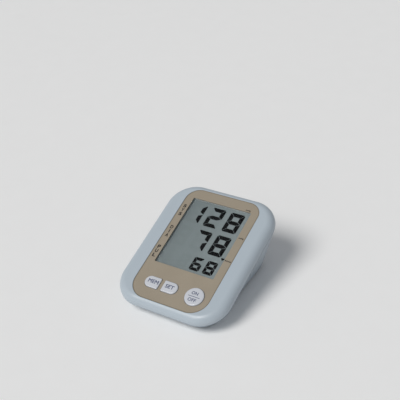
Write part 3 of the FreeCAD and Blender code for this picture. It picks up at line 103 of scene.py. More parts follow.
@dataclass
class Graph:
    """Adds nodes to one node tree and joins them."""

    tree: bpy.types.NodeTree

    def feed(self, target: Socket, value: object) -> None:
        """Links an input socket to an output socket, or sets it to a plain value.

        Args:
            target: The input socket.
            value: The output socket or the value.
        """
        if isinstance(value, Socket):
            self.tree.links.new(value, target)
        else:
            target.default_value = value

    def add(self, kind: str, *sources: object, **values: object) -> Node:
        """Adds a node.

        Args:
            kind: The node's type name.
            sources: What its first input sockets take, in order.
            values: Its properties, or what its other sockets take, by name with
                underscores for spaces.

        Returns:
            The new node.
        """
        node = self.tree.nodes.new(kind)
        for target, value in zip(node.inputs, sources):
            self.feed(target, value)
        for name, value in values.items():
            if hasattr(node, name):
                setattr(node, name, value)
            else:
                self.feed(node.inputs[name.replace("_", " ")], value)
        return node

    def place(self) -> Socket:
        """The Object coordinates."""
        return self.add("ShaderNodeTexCoord").outputs["Object"]

    def noise(self, place: Socket, scale: float | Socket, **values: float) -> Socket:
        """A noise of the given scale, with its other values by name."""
        return self.add("ShaderNodeTexNoise", Vector=place, Scale=scale, **values).outputs["Fac"]

    def remap(self, value: Socket, **limits: float) -> Socket:
        """Carries a value from one range to another, which are 0 to 1 unless given."""
        return self.add("ShaderNodeMapRange", Value=value, **limits).outputs["Result"]

    def math(self, operation: str, *values: object, clamp: bool = False) -> Socket:
        """An operation on two values or sockets, held between 0 and 1 if clamped."""
        node = self.add("ShaderNodeMath", *values, operation=operation, use_clamp=clamp)
        return node.outputs["Value"]

    def blend(self, factor: Socket, first: Four | Socket, second: Four | Socket) -> Socket:
        """Mixes two colours.

        Args:
            factor: How much of the second colour shows.
            first: The colour at 0.
            second: The colour at 1.

        Returns:
            The socket of the mix.
        """
        mix = self.add("ShaderNodeMix", data_type="RGBA")
        for number, value in zip(MIX_INPUTS, (factor, first, second)):
            self.feed(mix.inputs[number], value)
        return mix.outputs[MIX_OUTPUT]


class TextureGroup(Graph):
    """A shared node group with a Scale input, whose values vary over the surface."""

    def __init__(self, texture: Texture) -> None:
        """Makes the group of a texture.

        Args:
            texture: The texture, which names the group.
        """
        super().__init__(bpy.data.node_groups.new(texture.value, "ShaderNodeTree"))
        new_socket = self.tree.interface.new_socket
        new_socket("Scale", in_out="INPUT", socket_type="NodeSocketFloat")
        self.at = self.place()
        self.scale = self.add("NodeGroupInput").outputs["Scale"]
        makers = {
            Texture.MOULDED: self.moulded,
            Texture.BRUSHED: self.brushed,
            Texture.FLAKE: self.flake,
            Texture.CELLS: self.cells,
            Texture.MARKS: self.marks,
        }
        outputs = makers[texture]()
        for name in outputs:
            new_socket(name, in_out="OUTPUT", socket_type="NodeSocketFloat")
        self.add("NodeGroupOutput", **outputs)

    def moulded(self) -> dict[str, Socket]:
        """Spark-eroded grain: fine noise in height, slow noise in tone."""
        grain = self.noise(self.at, self.scale, Detail=2.0, Roughness=0.55)
        return {"Height": grain, "Tone": self.noise(self.at, GRAIN_TONE_SCALE, Detail=3.0)}

    def brushed(self) -> dict[str, Socket]:
        """Drawn lines along X: noise stretched forty times in that direction.

        Returns:
            The group's outputs by name.
        """
        drawn = self.add("ShaderNodeMapping", Vector=self.at, Scale=(0.025, 1.0, 1.0)).outputs[0]
        lines = self.noise(drawn, self.scale, Detail=4.0, Roughness=0.6)
        return {"Height": lines, "Tone": lines}

    def flake(self) -> dict[str, Socket]:
        """Metal flakes in a coat: each small cell has a tone of its own.

        Returns:
            The group's outputs by name.
        """
        flakes = self.add("ShaderNodeTexVoronoi", Vector=self.at, Scale=self.scale)
        split = self.add("ShaderNodeSeparateColor", flakes.outputs["Color"]).outputs
        slow = self.noise(self.at, FLAKE_TONE_SCALE, Detail=2.0)
        total = self.math("ADD", split["Red"], slow)
        return {"Height": split["Green"], "Tone": self.math("MULTIPLY", total, 0.5)}

    def cells(self) -> dict[str, Socket]:
        """Open foam: pits where a point is near the middle of a cell."""
        pits = self.add("ShaderNodeTexVoronoi", Vector=self.at, Scale=self.scale)
        return dict.fromkeys(("Height", "Tone"), pits.outputs["Distance"])

    def marks(self) -> dict[str, Socket]:
        """Handling marks: broad smudges where the gloss is a little duller."""
        smudge = self.noise(self.at, self.scale, Detail=5.0, Roughness=0.65, Distortion=0.6)
        return {"Mask": self.remap(smudge, From_Min=0.38, From_Max=0.68)}


groups = {texture: TextureGroup(texture).tree for texture in Texture}


@dataclass(frozen=True)
class Finish:
    """A surface finish: a colour that drifts, a gloss with marks and a fine relief."""

    name: str
    colour: Triple
    roughness: float = 0.4
    texture: Texture = Texture.MOULDED
    size: float = 0.4
    relief: float = 0.01
    drift: float = 0.04
    smudge: float = 0.06
    metallic: float = 0.0
    coat: float = 0.0
    specular: float = 0.5

    @cached_property
    def material(self) -> bpy.types.Material:
        """The finish as a Blender material, made once.

        Returns:
            The material with its nodes.
        """
        material = bpy.data.materials.new(self.name)
        material.use_nodes = True
        graph = Graph(material.node_tree)
        shader = graph.tree.nodes["Principled BSDF"]
        scales = {self.texture: 1.0 / (self.size * MM), Texture.MARKS: MARKS_SCALE}
        texture, marks = (
            graph.add("ShaderNodeGroup", node_tree=groups[kind], Scale=scale).outputs
            for kind, scale in scales.items()
        )
        bump = graph.add("ShaderNodeBump", Strength=BUMP_STRENGTH, Distance=self.relief * MM)
        graph.feed(bump.inputs["Height"], texture["Height"])
        dull, glossy = self.roughness + self.smudge, self.roughness - self.smudge
        settings = {
            "Metallic": self.metallic,
            "Coat Weight": self.coat,
            "Specular IOR Level": self.specular,
            "Normal": bump.outputs["Normal"],
            "Roughness": graph.remap(marks["Mask"], To_Min=glossy, To_Max=dull),
            "Base Color": self.paint(graph, texture["Tone"]),
        }
        for name, value in settings.items():
            graph.feed(shader.inputs[name], value)
        self.extras(graph, shader)
        return material

    def paint(self, graph: Graph, tone: Socket) -> Socket:
        """The colour over the surface, by a tone of 0 to 1 that wanders over it."""
        low, high = (linear(self.colour, 1.0 + sign * self.drift) for sign in (-1.0, 1.0))
        return graph.blend(tone, low, high)

    def extras(self, graph: Graph, shader: Node) -> None:
        """Nothing more in a plain finish."""


@dataclass(frozen=True)
class GlassFinish(Finish):
    """Clear acrylic with a coat against glare, which lets light through to the display."""

    index: float = 1.2

    def extras(self, graph: Graph, shader: Node) -> None:
        """Makes the shader clear, and plain transparent for shadow and diffuse rays.

        Args:
            graph: The material's nodes.
            shader: The Principled shader.
        """
        shader.inputs["Transmission Weight"].default_value = 1.0
        shader.inputs["IOR"].default_value = self.index
        light = graph.add("ShaderNodeLightPath").outputs
        either = graph.math("MAXIMUM", light["Is Shadow Ray"], light["Is Diffuse Ray"])
        clear = graph.add("ShaderNodeBsdfTransparent").outputs["BSDF"]
        mix = graph.add("ShaderNodeMixShader", either, shader.outputs["BSDF"], clear)
        surface = graph.tree.nodes["Material Output"].inputs["Surface"]
        graph.feed(surface, mix.outputs["Shader"])


@dataclass(frozen=True)
class PaintedSheenDisplay(Finish):
    """A reflective display whose grey-green grows lighter across the width towards the right: a painted reflection
    laid into its colour.
    """

    # The lighter grey at the right edge: a painted reflection, not a colour of the display itself.
    painted_sheen: Triple = (134, 143, 145)
    half_width: float = 30.0
    sway: float = 0.12

    def paint(self, graph: Graph, tone: Socket) -> Socket:
        """Mixes the dark grey and the painted-sheen grey by the place across the display, a painted reflection
        that lightens it to the right.

        Args:
            graph: The material's nodes.
            tone: A value of 0 to 1 that wanders over the surface.

        Returns:
            The socket of the colour.
        """
        reach = self.half_width * MM
        across = graph.add("ShaderNodeSeparateXYZ", graph.place()).outputs["X"]
        share = graph.remap(across, From_Min=-reach, From_Max=reach)
        sway = graph.remap(tone, To_Min=-self.sway, To_Max=self.sway)
        total = graph.math("ADD", share, sway, clamp=True)
        return graph.blend(total, linear(self.colour), linear(self.painted_sheen))


@dataclass(frozen=True)
class BoardFinish(Finish):
    """Solder mask over copper tracks, which show as slightly lighter runs."""

    track: Triple = (38, 130, 78)
    pitch: float = 1.6
    track_share: float = 0.06

    def paint(self, graph: Graph, tone: Socket) -> Socket:
        """Lays a brick pattern's joints as tracks over the mask's green."""
        tracks = graph.add(
            "ShaderNodeTexBrick",
            graph.place(),
            Scale=1.0 / (self.pitch * MM),
            Mortar_Size=self.track_share,
        )
        return graph.blend(tracks.outputs["Fac"], super().paint(graph, tone), linear(self.track))


CHAMPAGNE = Finish(
    "champagne_coat", (162, 151, 134), 0.42, Texture.FLAKE, 0.22, 0.004, drift=0.07, metallic=0.15
)
# Painted shade: a darker champagne for the line that stands for the shadow in the gap round the fascia.
GAP_SHADE = replace(CHAMPAGNE, name="champagne_gap_shade", colour=(136, 125, 107), roughness=0.45)
SEGMENT = Finish(
    "display_segment", (4, 4, 6), 0.6, size=0.2, relief=0.001, drift=0.1, specular=0.05
)
# The unlit segments carry the same painted reflection, lighter towards the right.
GHOST = PaintedSheenDisplay("display_unlit", (114, 123, 125), 0.5, size=0.18, painted_sheen=(131, 140, 142))
PRINT = Finish("dark_print", (15, 13, 13), 0.55, size=0.15, relief=0.002, drift=0.12)
LEGEND = Finish("blue_grey_print", (78, 86, 116), 0.5, size=0.15, relief=0.002, drift=0.1)
STEEL = Finish(
    "plated_steel", (200, 202, 206), 0.3, Texture.BRUSHED, 0.12, 0.004, drift=0.1, metallic=1.0
)
SLEEVE = Finish(
    "cell_sleeve", (58, 78, 104), 0.32, Texture.BRUSHED, 0.5, 0.003, drift=0.06, metallic=0.4,
    coat=0.4,
)
BAND = replace(SLEEVE, name="cell_band", colour=(176, 140, 96), metallic=0.5)
FLOOR = Finish("pale_floor", (247, 247, 247), 0.75, size=30.0, drift=0.01)

SLOT_FINISH: dict[str, Finish] = {
    "white_shell": Finish(
        "shell_plastic", (178, 189, 198), 0.36, size=0.35, relief=0.012, drift=0.02
    ),
    "champagne_fascia": CHAMPAGNE,
    "clear_window": GlassFinish(
        "window_acrylic", (246, 249, 249), 0.03, relief=0.0005, drift=0.01, smudge=0.02
    ),
    # The display's face: its lighter right side is a painted reflection.
    "lcd_face": PaintedSheenDisplay("display_face", (117, 126, 128), 0.5, size=0.18, relief=0.002),
    "white_key": Finish("key_plastic", (203, 206, 213), 0.3, size=0.3, relief=0.006, drift=0.015),
    "dark_rubber": Finish("dark_rubber", (44, 44, 47), 0.72, size=0.5, relief=0.02, drift=0.12),
    "clear_silicone": Finish(
        "clear_silicone", (214, 214, 208), 0.35, size=0.6, relief=0.008, drift=0.05
    ),
    "grey_foam": Finish("open_foam", (92, 92, 98), 0.9, Texture.CELLS, 0.9, 0.25, drift=0.35),
    "green_board": BoardFinish("solder_mask", (22, 92, 50), 0.38, size=0.5, coat=0.3),
    "black_plastic": Finish("black_plastic", (38, 38, 41), 0.5, relief=0.012, drift=0.1),
    "grey_plastic": Finish("grey_plastic", (176, 178, 182), 0.45, relief=0.012),
    "steel": STEEL,
    "magnet": Finish(
        "sintered_magnet", (72, 72, 76), 0.6, size=0.25, relief=0.02, drift=0.15, metallic=0.6
    ),
    "cell_sleeve": SLEEVE,
    "lead_sleeve": Finish("lead_sleeve", (150, 34, 30), 0.5, size=0.6, relief=0.006, drift=0.08),
}
NODE_FINISH: dict[str, Finish] = {
    # The gasket's pale grey is partly its own white foam and partly painted light, lighter than its own colour to
    # lift the shade under the fascia's edge.
    "lcd_gasket": Finish("display_gasket", (190, 197, 198), 0.75, drift=0.1),
    # The display's back glass also gets the painted reflection across its width.
    "lcd_rear_glass": PaintedSheenDisplay(
        "display_back", (96, 104, 106), 0.5, size=0.18, painted_sheen=(120, 128, 128)
    ),
}


def vertices_of(mesh: bpy.types.Mesh) -> Array:
    """Reads a mesh's vertices.

    Args:
        mesh: The mesh.

    Returns:
        Points (n, 3) in the mesh's own units.
    """
    flat = np.zeros(len(mesh.vertices) * 3)
    mesh.vertices.foreach_get("co", flat)
    return flat.reshape(-1, 3)


def points_of(node: str) -> Array:
    """The vertices (n, 3) of a CAD node, in millimetres."""
    return vertices_of(frame["nodes"][node].data) / MM


def box_of(node: str) -> tuple[Array, Array]:
    """A CAD node's lowest and highest corners, in millimetres."""
    low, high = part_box(node)
    return np.array(low) / MM, np.array(high) / MM


def show(name: str, data: bpy.types.ID) -> bpy.types.Object:
    """Puts a mesh, a curve, a lamp or a camera into the scene.

    Args:
        name: The object's name.
        data: What it shows.

    Returns:
        The new object.
    """
    shown = bpy.data.objects.new(name, data)
    bpy.context.scene.collection.objects.link(shown)
    return shown


def facing(place: Triple, target: Triple) -> Quaternion:
    """The turn of a lamp or a camera at a place that looks at a target."""
    return (Vector(target) - Vector(place)).to_track_quat("-Z", "Y")


def quarter_round(radius: float, steps: int) -> tuple[Array, Array]:
    """A quarter circle from a face to a wall: how far it lies in from the wall, and its rise."""
    turn = np.linspace(0.0, 0.5 * np.pi, steps)
    return radius * (1.0 - np.sin(turn)), radius * (1.0 - np.cos(turn))


def circle(steps: int) -> Array:
    """Angles once round, without the last, which is the first again."""
    return np.linspace(0.0, 2.0 * np.pi, steps, endpoint=False)


def grid(*parts: Array) -> Array:
    """Stacks arrays of two parameters along a last axis, each broadcast to the whole grid."""
    return np.stack(np.broadcast_arrays(*parts), axis=-1)


def turned(along: Array, reach: Array, columns: int) -> Array:
    """A profile turned about X: y and z are its reach times the angle's cosine and sine."""
    angle = circle(columns)
    return grid(along[:, None], reach[:, None] * np.cos(angle), reach[:, None] * np.sin(angle))


@dataclass(frozen=True)
class Outline:
    """A rectangle with four corner radii, in millimetres.

    The corners run anticlockwise from the front right: front right, rear right,
    rear left and front left.
    """

    centre: tuple[float, float]
    half: tuple[float, float]
    radii: Four
    steps: int

    @property
    def is_round(self) -> bool:
        """Whether the outline is a circle, whose quarters meet with no straight between."""
        return min(self.radii) > max(self.half) - ROUND_TOLERANCE

    def inside(self, points: Array) -> Array:
        """How far points lie inside an outline of equal corners.

        In a corner it is the radius less the distance from the corner's centre, and
        elsewhere the distance to the nearest side.

        Args:
            points: Points (..., 2).

        Returns:
            The distances, below 0 outside.
        """
        radius = self.radii[0]
        offset = np.abs(points - self.centre) - (np.array(self.half) - radius)
        corner = np.linalg.norm(np.maximum(offset, 0.0), axis=-1)
        return radius - corner - np.minimum(offset.max(axis=-1), 0.0)

    def ring(self, grow: float | Array, height: float | Array) -> Array:
        """Rings round the outline.

        Each corner is a quarter circle about its own centre, and the straight sides
        run between the quarters' ends. A grown ring lies outside the outline by the
        same distance everywhere.

        Args:
            grow: How far each ring lies outside the outline.
            height: The height of each ring.

        Returns:
            Points (rings, columns, 3).
        """
        grow, height = np.broadcast_arrays(np.atleast_1d(grow), np.atleast_1d(height))
        reach = grow[:, None] + self.half
        radius = np.minimum(grow[:, None] + self.radii, reach.min(axis=1)[:, None])
        side = np.array([[1.0, -1.0], [1.0, 1.0], [-1.0, 1.0], [-1.0, -1.0]])
        middle = side * (reach[:, None, :] - radius[..., None])
        turn = np.linspace(0.0, 0.5 * np.pi, self.steps, endpoint=not self.is_round)
        angle = np.array([-0.5, 0.0, 0.5, 1.0])[:, None] * np.pi + turn
        corner = radius[:, :, None, None] * grid(np.cos(angle), np.sin(angle))
        flat = (middle[:, :, None, :] + corner).reshape(len(grow), -1, 2) + self.centre
        return grid(flat[..., 0], flat[..., 1], height[:, None])


@dataclass(frozen=True)
class FaceFrame:
    """The tilted front's own axes: u to the right, v up the face, w out of it.

    The origin is the middle of the fascia's top, and lengths are millimetres.
    """

    origin: Array
    axes: Array

    @classmethod
    def from_model(cls) -> "FaceFrame":
        """Takes the tilt from a key's stroke and the place from the fascia.

        Returns:
            The frame of the front.
        """
        press = next(joint for joint in frame["joints"] if joint["name"] == "mem_press")
        out = -np.array(press["axis"])
        across = np.array([1.0, 0.0, 0.0])
        axes = np.array([across, np.cross(out, across), out])
        low, high = cls(np.zeros(3), axes).extent("fascia_plate")
        middle = np.append((low + high)[:2] / 2.0, high[2])
        return cls(middle @ axes, axes)

    def extent(self, node: str) -> tuple[Array, Array]:
        """A CAD node's lowest and highest u, v and w."""
        local = (points_of(node) - self.origin) @ self.axes.T
        return local.min(axis=0), local.max(axis=0)

    def outline(self, node: str, radii: Four, steps: int, grow: float = 0.0) -> Outline:
        """A CAD node's outline on the face, or one that lies outside it by a distance."""
        low, high = (corner[:2] for corner in self.extent(node))
        return Outline(tuple((low + high) / 2.0), tuple((high - low) / 2.0 + grow), radii, steps)

    def to_model(self, points: Array) -> Array:
        """Carries points (..., 3) of the face over to the model's axes."""
        return points @ self.axes + self.origin


@dataclass
class Piece:
    """One new mesh of the model, which has the finish of its slot unless it has its own."""

    name: str
    body: str
    slot: str
    finish: Finish | None = None
    more_finishes: tuple[Finish, ...] = ()
    finish_numbers: Array | None = None
    points: list[Array] = field(default_factory=list)
    faces: list[list[int]] = field(default_factory=list)
    count: int = 0

    def surface(self, rings: Array, loop: bool = False) -> None:
        """Adds a surface of closed rings, with a flat face over an open end.

        Its quads face out where the rings run upwards and turn anticlockwise.

        Args:
            rings: Points (rows, columns, 3) in millimetres.
            loop: Whether the last ring joins the first, as in a closed frame.
        """
        rows, columns, _ = rings.shape
        here = np.arange(rows * columns).reshape(rows, columns) + self.count
        beside, above = np.roll(here, -1, axis=1), np.roll(here, -1, axis=0)
        quads = grid(here, beside, np.roll(beside, -1, axis=0), above)
        self.faces += (quads if loop else quads[:-1]).reshape(-1, 4).tolist()
        if not loop:
            self.faces += [here[0, ::-1].tolist(), here[-1].tolist()]
        self.points.append(rings.reshape(-1, 3))
        self.count += rows * columns

    def raw(self, points: Array, faces: list[list[int]]) -> None:
        """Adds a mesh that was made elsewhere, such as lettering.

        Args:
            points: Points (n, 3) in millimetres.
            faces: Vertex numbers of each face.
        """
        self.faces += [[number + self.count for number in face] for face in faces]
        self.points.append(points)
        self.count += len(points)

    def build(self, sharp: float = 40.0) -> bpy.types.Object:
        """Makes the object, dresses it and lets it ride on its body.

        Args:
            sharp: The angle, in degrees, above which an edge stays sharp.

        Returns:
            The finished object.
        """
        mesh = bpy.data.meshes.new(self.name)
        mesh.from_pydata((np.concatenate(self.points) * MM).tolist(), [], self.faces)
        for finish in (self.finish or SLOT_FINISH[self.slot], *self.more_finishes):
            mesh.materials.append(finish.material)
        if self.finish_numbers is not None:
            mesh.polygons.foreach_set("material_index", self.finish_numbers)
        mesh.polygons.foreach_set("use_smooth", np.ones(len(mesh.polygons), dtype=bool))
        mesh.set_sharp_from_angle(angle=math.radians(sharp))
        mesh.validate()
        mesh.update()
        piece = show(self.name, mesh)
        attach(piece, self.body)
        LOG.info("%s: %d faces on %s", self.name, len(mesh.polygons), self.body)
        return piece


@dataclass
class FrontFrame:
    """The white front frame with its broad rounded edge and the fascia's recess."""

    face: FaceFrame
    corner: float = 26.0
    edge_round: float = 7.0
    wall: float = 2.2
    lip_round: float = 0.45
    fascia_gap: float = 0.15
    ledge: float = 2.6
    plate: float = 1.2
    chamfer: float = 0.3
    seam: float = 0.22
    seam_depth: float = 0.9
    seam_floor: float = 0.03
    hair: float = 0.015
    pane_corner: float = 2.0
    pane_lap: float = 1.4
    seat_width: float = 4.0
    seat_gap: float = 0.01

    def section(self) -> Array:
        """The frame's rings.

        The section runs up the outer wall, across the rounded skin on straight lines
        from the case's outline to the fascia's, over a small quarter circle into the
        recess, along the ledge that carries the fascia and back down the inner wall
        to the seam, and it is carried round the outline.

        Returns:
            Points (rings, columns, 3) in the face's frame.
        """
        corners = (self.corner,) * 4
        case = self.face.outline("front_cover", corners, OUTLINE_STEPS, -self.hair)
        fascia = self.face.outline("fascia_plate", FASCIA_RADII, OUTLINE_STEPS)
        bottom = self.face.extent("rear_cover")[1][2]
        floor = self.face.extent("fascia_plate")[0][2]
        edge = bottom + self.seam
        wall = case.ring([-self.chamfer, 0.0], [edge, edge + self.chamfer])
        share = quarter_round(1.0, OUTLINE_STEPS)[1][:, None, None]
        rim = case.ring(0.0, 0.0)
        crossing = rim + share * (fascia.ring(self.fascia_gap + self.lip_round, 0.0) - rim)
        crossing[..., 2] = self.skin(case, crossing)
        out, fall = quarter_round(self.lip_round, ROUND_STEPS)
        over = fascia.ring(self.fascia_gap + out[1:], 0.0)
        over[..., 2] = self.skin(case, over) - fall[1:, None]
        under, tongue_low = floor - self.plate, bottom + self.seam_floor
        ledge = fascia.ring([self.fascia_gap, -self.ledge, -self.ledge], [floor, floor, under])
        inside = case.ring(-self.wall, [under, tongue_low])
        tongue = case.ring(-self.seam_depth, [tongue_low, edge])
        return np.concatenate([wall, crossing, over, ledge, inside, tongue])

    def skin(self, case: Outline, points: Array) -> Array:
        """The height of the frame's outer skin.

        It is flat away from the edge, and nearer to it than the edge's radius it
        falls as a circle of that radius does.

        Args:
            case: The case's outline.
            points: Points (..., 3) of the face.

        Returns:
            The heights along w.
        """
        top = self.face.extent("front_cover")[1][2] - self.hair
        fall = np.clip(self.edge_round - case.inside(points[..., :2]), 0.0, self.edge_round)
        return top - self.edge_round + np.sqrt(self.edge_round**2 - fall**2)

    def seat(self) -> Array:
        """The window's seat: a rectangle carried round the window's pane.

        Returns:
            Points (4, columns, 3) in the face's frame.
        """
        corners = (self.pane_corner,) * 4
        pane = self.face.outline("display_window", corners, ROUND_STEPS, -self.pane_lap)
        top = self.face.extent("fascia_plate")[0][2] - self.seat_gap
        low = top - self.plate + 2.0 * self.seat_gap
        wide = self.seat_width
        return pane.ring([wide, wide, 0.0, 0.0], [low, top, top, low])

    def build(self) -> None:
        """Makes the frame, with the window's seat, in place of the CAD front."""
        piece = Piece("front_frame", "case", "white_shell")
        piece.surface(self.face.to_model(self.section()), loop=True)
        piece.surface(self.face.to_model(self.seat()), loop=True)
        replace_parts(piece.build(sharp=35.0), "front_cover")


@dataclass
class FasciaGapShade:
    """A thin darker line round the fascia's border: painted shade that stands for the shadow in the narrow gap
    between the fascia and the frame.
    """

    face: FaceFrame
    inset: float = 0.05
    width: float = 0.5
    rise: float = 0.05

    def build(self) -> None:
        """Makes the line: a flat rectangle carried round the fascia's outline."""
        outline = self.face.outline("fascia_plate", FASCIA_RADII, OUTLINE_STEPS)
        outer, inner = -self.inset, -self.inset - self.width
        levels = [PRINT_LIFT, self.rise, self.rise, PRINT_LIFT]
        piece = Piece("fascia_gap_shade", "case", "champagne_fascia", GAP_SHADE)
        piece.surface(self.face.to_model(outline.ring([outer, outer, inner, inner], levels)), True)
        piece.build()


@dataclass
class Lettering:
    """Printed characters that lie on a surface of the face."""

    face: FaceFrame
    weight: float = 0.04
    thickness: float = 0.03
    smoothness: int = 6
    extrude: float = 0.01

    def shape(self, text: str, size: tuple[float, float]) -> tuple[Array, list[list[int]]]:
        """Turns text into a flat mesh centred on its own box.

        Args:
            text: The characters.
            size: The width and the height that they fill, in millimetres.

        Returns:
            Points (n, 3), with the thickness along the third axis, and the faces.
        """
        curve = bpy.data.curves.new("lettering", "FONT")
        curve.body = text
        curve.extrude = self.extrude
        curve.bevel_depth = self.weight
        curve.bevel_resolution = 0
        curve.resolution_u = self.smoothness
        holder = show("lettering", curve)
        bpy.context.view_layer.update()
        shaped = holder.evaluated_get(bpy.context.evaluated_depsgraph_get())
        mesh = bpy.data.meshes.new_from_object(shaped)
        points = vertices_of(mesh)
        faces = [list(polygon.vertices) for polygon in mesh.polygons]
        bpy.data.objects.remove(holder)
        bpy.data.curves.remove(curve)
        bpy.data.meshes.remove(mesh)
        low, high = points.min(axis=0), points.max(axis=0)
        centred = (points - (low + high) / 2.0) / (high - low) * (*size, 1.0)
        centred[:, 2] = np.where(points[:, 2] > 0.0, self.thickness, 0.0)
        return centred, faces

    def place(self, piece: Piece, label: Label, key: "KeyCap | None" = None) -> None:
        """Adds text to a piece.

        Args:
            piece: The piece that the text becomes part of.
            label: The characters, the width and the height that they fill, and where
                their middle lies on the face.
            key: The key whose crown carries them, if it isn't the fascia.
        """
        text, width, height, u, v = label
        points, faces = self.shape(text, (width, height))
        points += (u, v, 0.0)
        under = key.crown_at(points[:, :2]) if key else 0.0
        points[:, 2] += under + PRINT_LIFT
        piece.raw(self.face.to_model(points), faces)


@dataclass
class KeyCap:
    """A white key with rounded edges and a crowned top, and its printed legend."""

    face: FaceFrame
    name: str
    radii: Four
    legends: tuple[Label, ...]
    bar: Four | None = None
    corner_steps: int = 20
    flange: float = 1.35
    flange_drop: float = 3.3
    flange_thickness: float = 0.8
    stem_radius: float = 2.0
    stem_steps: int = 10
    stem_lap: float = 0.05
    edge_round: float = 0.7
    crown: float = 0.28
    crown_rings: int = 14
    crown_end: float = 0.98
    print_weight: float = 0.02
    bar_thickness: float = 0.03
    bar_steps: int = 24

    @cached_property
    def outline(self) -> Outline:
        """The cap's outline, from the CAD key less its hidden flange."""
        node = f"{self.name}_button"
        return self.face.outline(node, self.radii, self.corner_steps, -self.flange)

    @cached_property
    def levels(self) -> tuple[float, float]:
        """The bottom and the top of the CAD key along w."""
        low, high = self.face.extent(f"{self.name}_button")
        return low[2], high[2]

    def crown_at(self, points: Array) -> Array:
        """The height of the crown.

        The crown is a product of two parabolas, highest in the middle and down to
        the edge's height at the ends and the sides.

        Args:
            points: Points (..., 2) of the face.

        Returns:
            The heights along w.
        """
        share = (points - self.outline.centre) / self.outline.half
        first, second = np.moveaxis(np.clip(1.0 - share**2, 0.0, 1.0), -1, 0)
        return self.levels[1] - self.crown + self.crown * first * second

    def rings(self, under: float, skirt: float) -> Array:
        """The cap's rings.

        They run up the flange and the wall and over a quarter circle, and then shrink
        in even steps towards the middle, on the crown.

        Args:
            under: The height of the flange's lower side.
            skirt: The height of its upper side.

        Returns:
            Points (rings, columns, 3) in the face's frame.
        """
        outline, edge_top = self.outline, self.levels[1] - self.crown
        flange = outline.ring([self.flange, self.flange, 0.0], [under, skirt, skirt])
        fall, inset = quarter_round(self.edge_round, ROUND_STEPS)
        edge = outline.ring(-inset, edge_top - fall)
        share = np.linspace(0.0, self.crown_end, self.crown_rings)[1:, None, None]
        top = edge[-1] + share * ((*outline.centre, edge_top) - edge[-1])
        rings = np.concatenate([flange, edge, top])
        crowned = rings[len(flange) + len(edge) - 1:]
        crowned[..., 2] = self.crown_at(crowned[..., :2])
        return rings

    def bar_rings(self) -> Array:
        """The thin bar between two legends, laid along the crown.

        Returns:
            Rings (rows, 4, 3) of its cross-section, carried along u.
        """
        middle, half, v, width = self.bar
        u = np.linspace(middle - half, middle + half, self.bar_steps)
        side = np.array([0.5, 0.5, -0.5, -0.5]) * width
        lift = PRINT_LIFT + np.array([0.0, 1.0, 1.0, 0.0]) * self.bar_thickness
        height = self.crown_at(grid(u[:, None], v + side)) + lift
        return grid(u[:, None], v + side, height)

    def build(self) -> None:
        """Makes the cap with its flange and stem in place of the CAD key, and its legend."""
        low, high = self.levels
        skirt = high - self.flange_drop
        under = skirt - self.flange_thickness
        radius = self.stem_radius
        stem = Outline(self.outline.centre, (radius,) * 2, (radius,) * 4, self.stem_steps)
        cap = Piece(f"{self.name}_cap", f"{self.name}_key", "white_key")
        cap.surface(self.face.to_model(self.rings(under, skirt)))
        cap.surface(self.face.to_model(stem.ring(0.0, [low, under + self.stem_lap])))
        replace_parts(cap.build(sharp=50.0), f"{self.name}_button")
        legend = Piece(f"{self.name}_legend", f"{self.name}_key", "black_plastic", LEGEND)
        lettering = Lettering(self.face, self.print_weight)
        for label in self.legends:
            lettering.place(legend, label, self)
        if self.bar:
            legend.surface(self.face.to_model(self.bar_rings()))
        legend.build()


SEGMENTS: dict[str, str] = {
    "0": "abcdef", "1": "bc", "2": "abged", "3": "abgcd", "4": "fgbc",
    "5": "afgcd", "6": "afgedc", "7": "abc", "8": "abcdefg", "9": "abcfgd",
}


@dataclass(frozen=True)
class DigitRow:
    """A row of seven-segment digits, ranged to the right."""

    text: str
    right: float
    top: float
    height: float
    width: float
    pitch: float
    stroke: float
    places: int = 3


